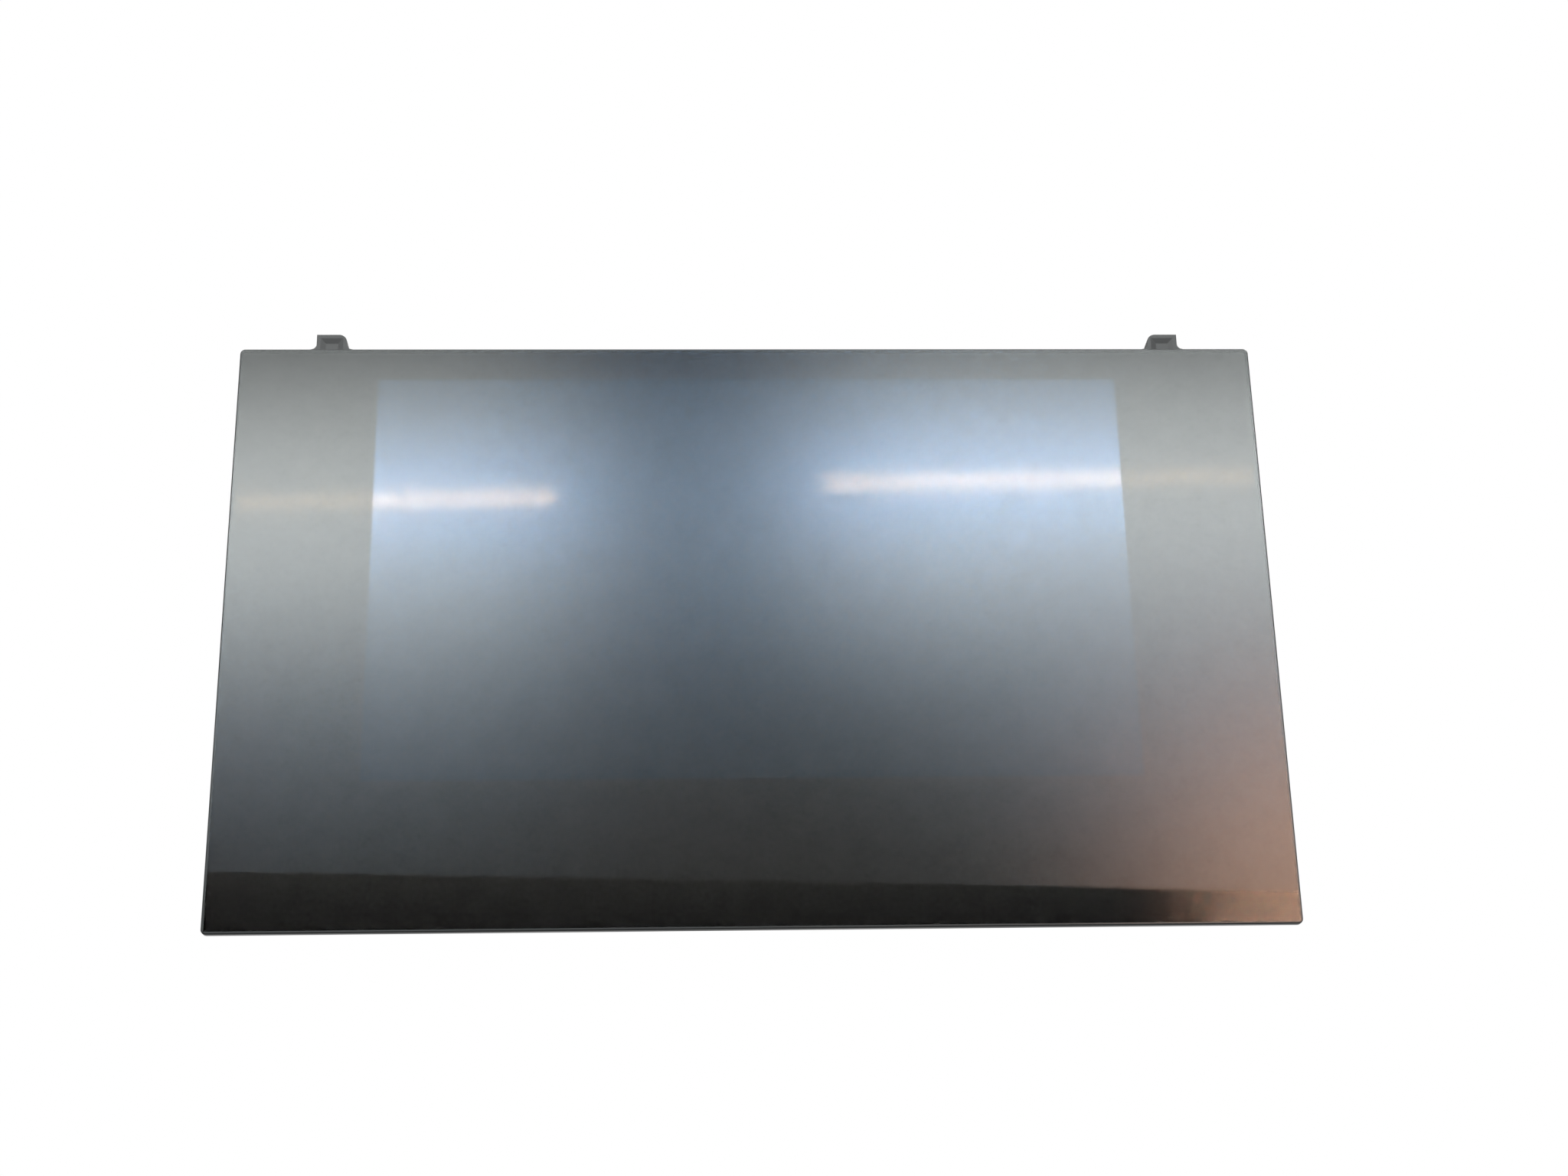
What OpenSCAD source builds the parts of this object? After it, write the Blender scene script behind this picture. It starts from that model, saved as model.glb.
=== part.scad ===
// Dashboard display module: a bonded cover glass with a touch sensor and a
// liquid crystal panel behind it, a moulded carrier frame with two top hooks,
// and a cast rear housing that holds the main board and its sockets.
// X runs across the glass, Z up it, and Y back from the driver into the dashboard.
// The origin is the centre of the four rear mounting bosses, on their faces.

/* [Cover glass] */
// Width of the cover glass
glass_w = 244; // [226:1:280]
// Height of the cover glass
glass_h = 143; // [138:1:170]
// Thickness of the cover glass
glass_t = 1.8; // [1.1:0.1:3]
// Radius of the cover glass's corners
glass_corner = 1.2; // [0.8:0.1:5]
// Chamfer ground round both faces of the cover glass
glass_chamfer = 0.3; // [0.1:0.05:0.5]
// Thickness of the black print behind the glass
print_t = 0.1; // [0.05:0.01:0.2]
// Bare glass left outside the print
print_edge = 0.3; // [0.1:0.1:0.8]
// Black border above the active area
border_top = 7.7; // [7.2:0.1:14]
// Thickness of the tape that holds the glass on the carrier frame
tape_t = 0.8; // [0.6:0.1:1.5]
// Step from the edges of the carrier frame's land to the tape
tape_inset = 0.6; // [0.2:0.1:0.8]

/* [Touch sensor and display] */
// Width of the active area
active_w = 177.1; // [166:0.1:180]
// Height of the active area
active_h = 99.6; // [92:0.1:102]
// Clear window round the active area
window_margin = 0.5; // [0.2:0.1:0.9]
// Margin of the touch sensor round the active area
sensor_margin = 1.8; // [1.2:0.1:2]
// Thickness of the touch sensor film
sensor_t = 0.3; // [0.2:0.05:0.5]
// Thickness of each optical adhesive layer
adhesive_t = 0.2; // [0.1:0.05:0.4]
// Margin of the polarizers round the active area
polarizer_margin = 1; // [0.5:0.1:1.1]
// Thickness of each polarizer
polarizer_t = 0.2; // [0.1:0.05:0.3]
// Margin of the filter glass round the active area
cell_margin = 2.4; // [2.3:0.1:2.6]
// Thickness of each glass of the liquid crystal cell
cell_glass_t = 0.6; // [0.4:0.05:0.8]
// Driver ledge of the array glass below the filter glass
ledge_h = 5; // [4:0.1:5.6]
// Length of one driver chip
driver_w = 20; // [14:1:24]
// Number of driver chips along the ledge
driver_count = 2; // [1:1:3]
// Depth of one driver chip up the ledge
driver_h = 1.4; // [1:0.1:1.8]
// Thickness of a driver chip
driver_t = 0.35; // [0.2:0.05:0.38]

/* [Backlight] */
// Thickness of each optical film
film_t = 0.2; // [0.1:0.05:0.3]
// Margin of the films and the light guide round the active area
guide_margin = 1.6; // [1.4:0.1:2]
// Light guide below the active area, down to the lamps
guide_foot = 6; // [5:0.1:6.6]
// Thickness of the light guide
guide_t = 2.5; // [2.2:0.1:3.5]
// Number of backlight lamps
lamp_count = 24; // [12:1:28]
// Width of one lamp
lamp_w = 3; // [2:0.1:4]
// Height of one lamp across the guide's edge
lamp_h = 1.8; // [1.2:0.1:2.1]
// Depth of one lamp
lamp_d = 1.2; // [0.8:0.1:1.4]
// Thickness of the lamp strip
strip_t = 0.6; // [0.4:0.1:0.8]
// Thickness of the backlight tray
tray_t = 1; // [0.5:0.1:1.5]
// Thickness of the foam cushions behind the tray
cushion_t = 1; // [0.5:0.1:2]
// Width of the foam cushions
cushion_w = 8; // [4:1:14]

/* [Panel frame and bezel] */
// Border of the display panel at its top and sides
panel_side = 3.6; // [3.5:0.1:4]
// Border of the display panel below the active area
panel_foot = 12; // [11.4:0.1:14]
// Margin of the bezel's opening round the active area
bezel_reveal = 2.1; // [2:0.1:2.2]
// Thickness of the sheet steel bezel
bezel_t = 0.4; // [0.2:0.05:0.5]
// Margin of the panel frame's ledge round the active area
ledge_reveal = 1.2; // [1.1:0.05:1.3]
// Air gap between the rear polarizer and the first film
film_gap = 0.2; // [0.1:0.05:0.4]
// Clearance round the glasses and films in the panel frame
cell_gap = 0.2; // [0.1:0.05:0.3]

/* [Carrier frame] */
// Overhang of the glass past the carrier frame's sides and bottom
overhang = 2.6; // [1.5:0.1:4]
// Overhang of the glass past the carrier frame's top
overhang_top = 1.4; // [0.5:0.1:2]
// Thickness of the carrier frame's land behind the glass
land_t = 2; // [1.5:0.1:3]
// Thickness of the carrier frame's outer wall
skirt_t = 1.8; // [1.2:0.1:2.5]
// Depth of the carrier frame from its land's front face
skirt_depth = 9; // [7:0.5:12]
// Thickness of the wall round the display panel
well_t = 2.2; // [1.8:0.1:3]
// Gap between the display panel and that wall
panel_gap = 0.5; // [0.2:0.1:1]
// Room for the flexible circuits below the display panel
flex_room = 4; // [3.6:0.1:6]
// Thickness of the carrier frame's ribs
rib_t = 1.2; // [0.8:0.1:2]
// Height of the carrier frame's ribs behind its land
rib_depth = 4.2; // [2:0.1:4.8]
// Largest distance between two ribs
rib_pitch = 18; // [12:1:22]
// Radius of the carrier frame's screw bosses
boss_r = 3.1; // [2.6:0.1:3.6]

/* [Top hooks] */
// Distance from the middle to the left hook
hook_left_x = 100.8; // [97:0.1:106]
// Distance from the middle to the right hook
hook_right_x = 101.8; // [97:0.1:106]
// Width of a hook
hook_w = 7.3; // [5:0.1:10]
// Height of a hook above the glass's top edge
hook_rise = 5.5; // [4.5:0.1:9]
// Thickness of a hook
hook_t = 2.2; // [1.5:0.1:3]
// Step from the carrier frame's front face to a hook's front face
hook_setback = 0.6; // [0:0.1:2]
// Reach of the hook's nose behind its stem
nose_reach = 2; // [1:0.1:3]
// Height of the hook's nose
nose_h = 2.4; // [1.5:0.1:3]
// Radius of the hook's inner top corner
hook_round = 2; // [0.5:0.1:2.4]
// Height of the hook's root above the glass's top edge
root_rise = 1.6; // [0.5:0.1:2]
// Radius of the fillets at the hook's root
root_fillet = 1.3; // [0.5:0.1:2]
// Depth of the moulded pocket in a hook's face
pocket_depth = 0.5; // [0.3:0.1:0.9]
// Rim left round that pocket
pocket_rim = 0.9; // [0.7:0.1:1.6]
// Width of the pocket's sloped sides
pocket_slope = 1.3; // [0.4:0.1:1.5]

/* [Chassis plate] */
// Thickness of the chassis plate
plate_t = 1; // [0.6:0.1:1.6]
// Radius of the screw ears on the plate and the housing
ear_r = 3.6; // [3.2:0.1:4.2]
// Height of the board standoffs
standoff_h = 5; // [4:0.1:7]
// Radius of the board standoffs
standoff_r = 2.8; // [2.4:0.1:3.4]

/* [Rear housing] */
// Depth of the rear housing, from the chassis plate to the mounting faces
housing_depth = 22.3; // [21:0.1:30]
// Step from the housing's flange to its body
body_inset = 1; // [0.6:0.1:1.4]
// Thickness of the housing's flange
flange_t = 2.5; // [1.5:0.1:3.5]
// Thickness of the housing's side walls
wall_t = 1.8; // [1.4:0.1:2.2]
// Thickness of the housing's floor
floor_t = 2.2; // [1.5:0.1:3]
// Draft of the body's side walls over its depth
draft = 1; // [0.2:0.1:1.5]
// Radius of the housing's rear edge
rear_radius = 2; // [0.5:0.1:3]
// Radius of the housing's corners
housing_corner = 6; // [3:0.5:9]
// Height of the mounting bosses behind the floor
boss_rise = 4; // [3.4:0.1:6]
// Distance between the mounting bosses across the housing
mount_w = 150; // [130:1:156]
// Distance between the mounting bosses up the housing
mount_h = 90; // [76:1:92]
// Radius of a mounting boss
mount_r = 5; // [4:0.1:5.5]
// Radius of the tapped hole in a mounting boss
tap_r = 1.65; // [1.25:0.05:2.1]
// Depth of the tapped holes
tap_depth = 8; // [6:0.5:9]
// Distance from the middle to a locating pin
pin_x = 83; // [80:0.5:84]
// Radius of a locating pin
pin_r = 2.5; // [1.5:0.1:3]
// Length of a locating pin behind the mounting faces
pin_length = 4; // [2:0.5:8]
// Wall round the root of a locating pin
pin_wall = 1.5; // [1:0.1:2]
// Thickness of the ribs beside the mounting bosses
brace_t = 1.6; // [1:0.1:2]
// Height of the gussets at the screw ears
gusset_rise = 6; // [3:0.5:9]
// Thickness of those gussets
gusset_t = 1; // [0.6:0.1:1.2]
// Radius of the ejector pins' marks on the floor
mark_r = 2.2; // [1.5:0.1:2.5]
// Depth of those marks
mark_depth = 0.25; // [0.1:0.05:0.4]

/* [Cooling fins] */
// Number of fins
fin_count = 19; // [5:1:21]
// Distance between two fins
fin_pitch = 6.4; // [5:0.1:7]
// Thickness of a fin at its root
fin_root = 2; // [1.5:0.1:2.5]
// Thickness of a fin at its tip
fin_tip = 1.2; // [0.8:0.1:1.4]
// Height of the fins behind the floor
fin_rise = 3.2; // [2:0.1:3.4]
// Lower end of the fins above the sockets
fin_low = -24; // [-26:1:-10]
// Lower end of the fins beside the sockets
fin_foot = -50; // [-52:1:-30]
// Upper end of the fins
fin_high = 50; // [30:1:52]
// Slope of the fins' ends, as their length over the fins' height
fin_slope = 0.8; // [0.1:0.1:1.5]

/* [Main board] */
// Thickness of the main board
board_t = 1.6; // [1:0.1:2]
// Gap between the main board and the housing's walls
board_gap = 2; // [1.6:0.1:3]
// Distance from the board's edges to its screw holes
board_hole_inset = 6; // [5:0.5:8]
// Side of the processor
processor_w = 17; // [12:1:22]
// Height of the processor
processor_t = 1.6; // [1:0.1:2.5]
// Thickness of the thermal pad on the processor
pad_t = 1.5; // [0.5:0.1:2]
// Width of the shield can
can_w = 28; // [22:1:32]
// Height of the shield can up the board
can_h = 22; // [18:1:26]
// Height of the shield can off the board
can_rise = 3.5; // [2.5:0.1:5]
// Thickness of the shield can's sheet
can_t = 0.25; // [0.2:0.05:0.4]
// Side of a power inductor
inductor_w = 7; // [5:0.5:8]
// Height of a power inductor
inductor_h = 4; // [2:0.5:5]
// Radius of an electrolytic capacitor
capacitor_r = 3.15; // [2:0.05:3.5]
// Height of an electrolytic capacitor
capacitor_h = 6; // [4:0.5:7]
// Distance from the middle to the power inductors
inductor_x = 64; // [60:0.5:66]
// Height of the topmost inductor above the middle
inductor_top = 30; // [27:0.5:32]
// Distance between two inductors up the board
inductor_pitch = 13; // [10:0.5:14]
// Distance from the inductors to the capacitors beside them
capacitor_step = 12; // [11.5:0.1:13]
// Width of a memory chip
memory_w = 12; // [9:0.5:13]
// Height of a memory chip up the board
memory_h = 9; // [7:0.5:10]
// Gap between the processor and the memory chips
memory_gap = 9.5; // [8:0.5:10]
// Gap between the larger chips
chip_gap = 6; // [3:0.5:6]
// Width of the flash chip
flash_w = 11.5; // [8:0.5:13]
// Height of the flash chip up the board
flash_h = 13; // [9:0.5:15]
// Thickness of the memory and flash chips
chip_t = 1.2; // [0.8:0.1:1.6]
// Side of the video receiver
receiver_w = 9; // [6:0.5:12]
// Side of the touch controller
controller_w = 7; // [5:0.5:9]
// Thickness of those two chips
small_chip_t = 0.9; // [0.6:0.1:1.2]
// Length of the small resistors and capacitors
part_w = 2; // [1:0.1:2.2]
// Height of those parts up the board
part_h = 1.2; // [0.6:0.1:1.4]
// Thickness of those parts
part_t = 0.6; // [0.4:0.1:1]
// Distance between two of those parts
part_pitch = 4; // [3:0.1:4.2]

/* [Flexible circuits] */
// Thickness of the flexible circuits
flex_t = 0.3; // [0.15:0.05:0.35]
// Inside radius of the flexible circuits' bends
flex_bend = 0.9; // [0.4:0.1:1]
// Drop from the display panel's bottom to the circuits' run
flex_drop = 1.9; // [1.6:0.1:2.2]
// Width of the panel's flexible circuit
panel_flex_w = 50; // [30:1:56]
// Width of the touch sensor's flexible circuit
touch_flex_w = 22; // [12:1:26]
// Width of the backlight's flexible circuit
lamp_flex_w = 8; // [5:1:12]
// Height of the flexible circuits' sockets off the board
socket_t = 2; // [1.4:0.1:2.6]
// Height of those sockets up the board
socket_h = 5; // [4:0.5:7]

/* [Rear sockets] */
// Width of the power socket
power_w = 30; // [26:1:36]
// Height of the power socket
power_h = 12; // [11:0.5:13]
// Width of the video socket
video_w = 24; // [22:1:28]
// Height of the video socket
video_h = 12; // [11:0.5:13]
// Wall of the sockets
socket_wall = 1.7; // [1.2:0.1:2]
// Depth of the power socket's cavity
power_cavity = 10; // [9:0.5:11]
// Radius of the video socket's two bores
video_bore_r = 4.2; // [3.8:0.1:4.5]
// Depth of the video socket's bores
video_cavity = 9; // [6:0.5:11]
// Contacts in each row of the power socket
contact_count = 6; // [2:1:6]
// Distance between two power contacts
contact_pitch = 4; // [3:0.1:4.2]
// Side of a square power contact
contact_w = 0.64; // [0.5:0.02:1]
// Length of the power contacts inside the cavity
contact_length = 5; // [3:0.1:5.2]
// Gap round the rear sockets in the housing's windows
window_gap = 0.4; // [0.2:0.1:0.8]
// Height of the collar round the windows
collar_rise = 1.6; // [1:0.1:2.5]
// Wall of that collar
collar_t = 1.5; // [1:0.1:2]
// Step from the mounting faces in to the sockets' mouths
mouth_inset = 1; // [0.5:0.1:2]

/* [Screws] */
// Radius of the housing and board screws' threads
screw_r = 1.5; // [1.2:0.1:1.6]
// Radius of the housing screws' heads
head_r = 2.8; // [2.4:0.1:3.1]
// Height of the screws' heads
head_h = 1.9; // [1.5:0.1:2.4]
// Clearance round a thread in its hole
thread_gap = 0.05; // [0.02:0.01:0.1]
// Clearance round a screw where it passes through
pass_gap = 0.2; // [0.1:0.05:0.4]
// Gap between a screw's head and the gussets beside it
head_room = 0.4; // [0.2:0.1:0.8]
// Thread length in the carrier frame or a standoff
grip = 3.4; // [2:0.1:3.8]
// Distance between the side screws up the housing
screw_step = 46; // [36:1:52]
// Distance from the middle to a bottom screw
screw_bottom_x = 62; // [30:1:74]

/* [Hidden] */
$fn = 48;

// The stack from the mounting faces forward to the glass, as positions on Y
plate_back = -housing_depth;
plate_front = plate_back - plate_t;
tray_back = plate_front - cushion_t;
tray_front = tray_back - tray_t;
reflector_front = tray_front - film_t;
guide_front = reflector_front - guide_t;
diffuser_front = guide_front - film_t;
lower_film_front = diffuser_front - film_t;
upper_film_front = lower_film_front - film_t;
array_back = upper_film_front - film_gap - polarizer_t;
array_front = array_back - cell_glass_t;
filter_front = array_front - cell_glass_t;
polarizer_front = filter_front - polarizer_t;
sensor_back = polarizer_front - adhesive_t;
sensor_front = sensor_back - sensor_t;
print_back = sensor_front - adhesive_t;
print_front = print_back - print_t;
glass_front = print_front - glass_t;
carrier_front = print_back + tape_t;
carrier_back = carrier_front + skirt_depth;
bezel_front = filter_front - bezel_t;

// The panel's own edges round the active area
active_z = (flex_room + panel_foot - panel_side - panel_gap) / 2;
active_top = active_z + active_h / 2;
active_bottom = active_z - active_h / 2;
panel_half = active_w / 2 + panel_side;
panel_top = active_top + panel_side;
panel_bottom = active_bottom - panel_foot;
guide_bottom = active_bottom - guide_foot;
lamp_top = guide_bottom - 0.1;
strip_top = lamp_top - lamp_d;
strip_bottom = strip_top - strip_t;

// The wall round the panel, which the chassis plate and the housing share
well_half = panel_half + panel_gap;
well_high = panel_top + panel_gap;
wall_half = well_half + well_t;
wall_high = well_high + well_t;

// The glass and the carrier frame
glass_top = active_top + border_top;
glass_bottom = glass_top - glass_h;
carrier_half = glass_w / 2 - overhang;
carrier_top = max(glass_top - overhang_top, wall_high);
carrier_bottom = glass_bottom + overhang;

// The housing
floor_back = -boss_rise;
floor_front = floor_back - floor_t;
body_half = wall_half - body_inset;
body_high = wall_high - body_inset;
cavity_half = body_half - wall_t;
cavity_high = body_high - wall_t;
pedestal_w = processor_w + 3;

// The main board
board_front = plate_back + standoff_h;
board_back = board_front + board_t;
board_half = cavity_half - board_gap;
board_high = cavity_high - board_gap;
hole_x = board_half - board_hole_inset;
hole_z = board_high - board_hole_inset;
board_points = [for (x = [-hole_x, 0, hole_x], z = [-hole_z, hole_z]) [x, z]];
processor_at = [-18, 14];
memory_x = processor_at[0] + processor_w / 2 + memory_gap + memory_w / 2;
flash_x = memory_x + memory_w / 2 + chip_gap + flash_w / 2;
part_row = processor_w / 2 + 4.5;
can_at = [-42, -34];

// How deep the housing's raised features are sunk in it, so that they join
sunk = 0.5;

// The housing's screws, in ears that lap over its flange
ear_lap = 0.6;
screw_x = wall_half + ear_r - ear_lap;
screw_z = -wall_high - ear_r + ear_lap;
side_points = [for (x = [-screw_x, screw_x], z = [-screw_step, 0, screw_step]) [x, z]];
bottom_points = [for (x = [-screw_bottom_x, screw_bottom_x]) [x, screw_z]];

// The flexible circuits and their sockets
run_z = panel_bottom - flex_drop - flex_t;
flex_back = board_front - socket_t / 2 + flex_t / 2;
socket_z = -board_high + 4;
panel_flex_x = -34;
touch_flex_x = 32;
lamp_flex_x = 62;

// The rear sockets
socket_mouth = -mouth_inset;
power_at = [34, -38];
video_at = [-6, -38];
contact_rise = 2.2;

// A sheet in the plane of the glass, from the given front face back
module sheet(front, thick) {
    translate([0, front + thick, 0]) rotate([90, 0, 0]) linear_extrude(thick) children();
}

// A profile in the plane of Y and Z, drawn across X about the given middle
module across(width, middle = 0) {
    translate([middle - width / 2, 0, 0]) rotate([90, 0, 90]) linear_extrude(width) children();
}

// A rectangle given by its left, right, bottom and top edges
module span(left, right, bottom, top) {
    translate([left, bottom]) square([right - left, top - bottom]);
}

// A rectangle with rounded corners, given by its edges
module rounded_span(left, right, bottom, top, corner) {
    span(left + corner, right - corner, bottom, top);
    span(left, right, bottom + corner, top - corner);
    for (x = [left + corner, right - corner], z = [bottom + corner, top - corner])
        translate([x, z]) circle(corner);
}

// The active area grown by one margin all round
module active_area(margin, corner = 0.3) {
    edge = active_w / 2 + margin;
    rounded_span(-edge, edge, active_bottom - margin, active_top + margin, corner);
}

// The outline of the display panel, grown by a margin
module panel_outline(margin = 0) {
    edge = panel_half + margin;
    span(-edge, edge, panel_bottom - margin, panel_top + margin);
}

// The outline of the cover glass, drawn in by an inset
module glass_outline(inset = 0) {
    edge = glass_w / 2 - inset;
    rounded_span(-edge, edge, glass_bottom + inset, glass_top - inset, max(glass_corner - inset, 0.2));
}

// The outline of the carrier frame, drawn in by an inset
module carrier_outline(inset = 0) {
    edge = carrier_half - inset;
    rounded_span(-edge, edge, carrier_bottom + inset, carrier_top - inset, 2.5);
}

// The opening in the carrier frame that the display panel sits in
module well_opening(margin = 0) {
    rounded_span(-well_half - margin, well_half + margin, -well_high - margin, well_high + margin, 1);
}

// The outline shared by the chassis plate and the housing's flange, with its screw ears
module flange_outline() {
    root = 2;
    rounded_span(-wall_half, wall_half, -wall_high, wall_high, root);
    for (p = side_points) {
        inner = sign(p[0]) * (wall_half - root);
        translate(p) circle(ear_r);
        span(min(inner, p[0]), max(inner, p[0]), p[1] - ear_r, p[1] + ear_r);
    }
    for (p = bottom_points) {
        translate(p) circle(ear_r);
        span(p[0] - ear_r, p[0] + ear_r, p[1], root - wall_high);
    }
}

module screw_holes(points, radius) {
    for (p = points) translate(p) circle(radius);
}

module cover_glass() {
    color([0.05, 0.06, 0.07]) hull() {
        sheet(glass_front, glass_t) glass_outline(glass_chamfer);
        sheet(glass_front + glass_chamfer, glass_t - 2 * glass_chamfer) glass_outline();
    }
}

module border_print() {
    color([0.02, 0.02, 0.02]) sheet(print_front, print_t) difference() {
        glass_outline(print_edge);
        active_area(window_margin);
    }
}

module sensor_adhesive() {
    color([0.75, 0.8, 0.85]) {
        sheet(print_back, adhesive_t) active_area(sensor_margin);
        sheet(print_front, print_t + adhesive_t / 2) active_area(window_margin);
    }
}

module touch_sensor() {
    color([0.55, 0.6, 0.65]) sheet(sensor_front, sensor_t) active_area(sensor_margin);
}

module panel_adhesive() {
    color([0.75, 0.8, 0.85]) sheet(sensor_back, adhesive_t) active_area(polarizer_margin);
}

module glass_tape() {
    color([0.03, 0.03, 0.03]) sheet(print_back, tape_t) difference() {
        carrier_outline(tape_inset);
        well_opening(tape_inset);
    }
}

// The stem and nose of one hook, seen from the side
module hook_side() {
    front = carrier_front + hook_setback;
    back = front + hook_t;
    top = glass_top + hook_rise;
    polygon([
        [front, carrier_top - skirt_t], [back, carrier_top - skirt_t], [back, top - nose_h],
        [back + nose_reach, top - nose_h], [back + nose_reach, top - nose_h + 0.8],
        [back + 0.4, top], [front, top]
    ]);
}

// The face of one hook: its outer corner is sharp, its inner one round, its root filleted
module hook_face(side) {
    half = hook_w / 2;
    top = glass_top + hook_rise;
    root = glass_top + root_rise;
    inner = -side;
    difference() {
        span(-half, half, carrier_top - skirt_t, top);
        translate([inner * (half - hook_round), top - hook_round]) difference() {
            translate([inner > 0 ? 0 : -half, 0]) square([half, half]);
            circle(hook_round);
        }
    }
    difference() {
        span(-half - root_fillet, half + root_fillet, carrier_top - skirt_t, root + root_fillet);
        for (x = [-half - root_fillet, half + root_fillet])
            translate([x, root + root_fillet]) circle(root_fillet);
    }
}

// The shallow pocket in a hook's face, with sloped sides all round
module hook_pocket(middle) {
    half = hook_w / 2 - pocket_rim;
    high = glass_top + hook_rise - pocket_rim;
    low = glass_top + 0.4;
    front = carrier_front + hook_setback;
    deep = front + pocket_depth;
    intersection() {
        across(2 * half, middle) polygon([
            [front - 1, low], [front - 1, high], [front, high], [deep, high - pocket_slope],
            [deep, low + pocket_slope], [front, low]
        ]);
        translate([middle, 0, low]) linear_extrude(high - low) polygon([
            [-half, front - 1], [half, front - 1], [half, front], [half - pocket_slope, deep],
            [pocket_slope - half, deep], [-half, front]
        ]);
    }
}

module top_hook(middle) {
    difference() {
        intersection() {
            across(hook_w + 2 * root_fillet, middle) hook_side();
            sheet(carrier_front, skirt_depth) translate([middle, 0]) hook_face(sign(middle));
        }
        hook_pocket(middle);
    }
}

// The ribs that join the wall round the panel to the outer wall, and one low rib along each side channel
module carrier_ribs() {
    high = carrier_top - skirt_t;
    low = carrier_bottom + skirt_t;
    channel = carrier_half - skirt_t - wall_half;
    side_count = ceil((high - low) / rib_pitch);
    side_step = (high - low) / side_count;
    foot_count = 2 * ceil(wall_half / rib_pitch);
    foot_step = 2 * wall_half / foot_count;
    sheet(carrier_front + land_t, rib_depth) {
        for (i = [1 : side_count - 1], side = [-1, 1])
            translate([side * (wall_half + channel / 2), low + i * side_step])
                square([channel + 0.4, rib_t], center = true);
        for (i = [0 : foot_count])
            translate([i * foot_step - wall_half, (low - wall_high) / 2])
                square([rib_t, -wall_high - low + 0.4], center = true);
        for (p = side_points) translate([sign(p[0]) * (wall_half + channel / 2), p[1]])
            square([channel + 0.4, rib_t], center = true);
    }
    sheet(carrier_front + land_t, rib_depth / 2) for (side = [-1, 1])
        translate([side * (wall_half + channel / 2), (high + low) / 2])
            square([rib_t, high - low], center = true);
}

module carrier_frame() {
    color([0.07, 0.07, 0.075]) {
        difference() {
            union() {
                sheet(carrier_front, land_t) carrier_outline();
                sheet(carrier_front, skirt_depth) difference() {
                    carrier_outline();
                    carrier_outline(skirt_t);
                }
                sheet(carrier_front, plate_front - carrier_front)
                    rounded_span(-wall_half, wall_half, -wall_high, wall_high, 2);
                carrier_ribs();
                for (p = concat(side_points, bottom_points))
                    sheet(carrier_front, plate_front - carrier_front) translate(p) circle(boss_r);
            }
            sheet(carrier_front - 1, plate_front - carrier_front + 2) well_opening();
            sheet(plate_front - grip - 0.6, grip + 1.6)
                screw_holes(concat(side_points, bottom_points), screw_r + thread_gap);
            carrier_relief();
        }
        top_hook(-hook_left_x);
        top_hook(hook_right_x);
    }
}

// The outer wall stops short above the housing, where the wall round the panel carries the flange
module carrier_relief() {
    sheet(plate_front, carrier_back - plate_front + 1)
        span(-wall_half - 0.4, wall_half + 0.4, 0, carrier_top + 1);
}

module front_polarizer() {
    color([0.05, 0.06, 0.09]) sheet(polarizer_front, polarizer_t) active_area(polarizer_margin);
}

module filter_glass() {
    color([0.1, 0.12, 0.15]) sheet(filter_front, cell_glass_t) active_area(cell_margin);
}

module array_glass() {
    edge = active_w / 2 + cell_margin;
    color([0.12, 0.14, 0.16]) sheet(array_front, cell_glass_t)
        rounded_span(-edge, edge, active_bottom - cell_margin - ledge_h, active_top + cell_margin, 0.3);
}

module rear_polarizer() {
    color([0.05, 0.06, 0.09]) sheet(array_back, polarizer_t) active_area(polarizer_margin);
}

module driver_chips() {
    step = panel_flex_w / driver_count;
    color([0.25, 0.25, 0.27]) for (i = [0 : driver_count - 1])
        translate([panel_flex_x - panel_flex_w / 2 + (i + 0.5) * step, 0, active_bottom - cell_margin - 0.5])
            sheet(array_front - driver_t, driver_t) span(-driver_w / 2, driver_w / 2, -driver_h, 0);
}

// The slot that a flexible circuit leaves the panel by
module flex_notch(width, middle, front) {
    room = 0.15;
    sheet(front - room, flex_t + 2 * room)
        span(middle - width / 2 - room, middle + width / 2 + room, panel_bottom - 1,
             active_bottom - cell_margin - ledge_h + 1.5);
}

module panel_notches() {
    flex_notch(panel_flex_w, panel_flex_x, array_front - flex_t);
    flex_notch(lamp_flex_w, lamp_flex_x, tray_front - flex_t - 0.2);
}

module panel_bezel() {
    color([0.6, 0.61, 0.62]) difference() {
        sheet(bezel_front, tray_back - bezel_front) panel_outline();
        sheet(filter_front, tray_back - filter_front + 1) panel_outline(-bezel_t);
        sheet(bezel_front - 1, bezel_t + 2) active_area(bezel_reveal);
        panel_notches();
    }
}

// A pocket in the panel frame that goes down past the active area by its own foot
module frame_pocket(margin, foot) {
    edge = active_w / 2 + margin;
    span(-edge, edge, active_bottom - foot, active_top + margin);
}

module panel_frame() {
    color([0.85, 0.86, 0.84]) difference() {
        sheet(filter_front, tray_front - filter_front) panel_outline(-bezel_t);
        sheet(filter_front - 1, array_back - filter_front + 1)
            frame_pocket(cell_margin + cell_gap, cell_margin + ledge_h + cell_gap);
        sheet(array_back - 1, tray_front - array_back + 2) active_area(ledge_reveal);
        sheet(upper_film_front, tray_front - upper_film_front + 1)
            frame_pocket(guide_margin + cell_gap, active_bottom - strip_bottom);
        panel_notches();
    }
}

module upper_prism_film() {
    color([0.8, 0.85, 0.9]) sheet(upper_film_front, film_t) frame_pocket(guide_margin, guide_foot);
}

module lower_prism_film() {
    color([0.78, 0.83, 0.88]) sheet(lower_film_front, film_t) frame_pocket(guide_margin, guide_foot);
}

module diffuser_film() {
    color([0.9, 0.9, 0.9]) sheet(diffuser_front, film_t) frame_pocket(guide_margin, guide_foot);
}

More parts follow.
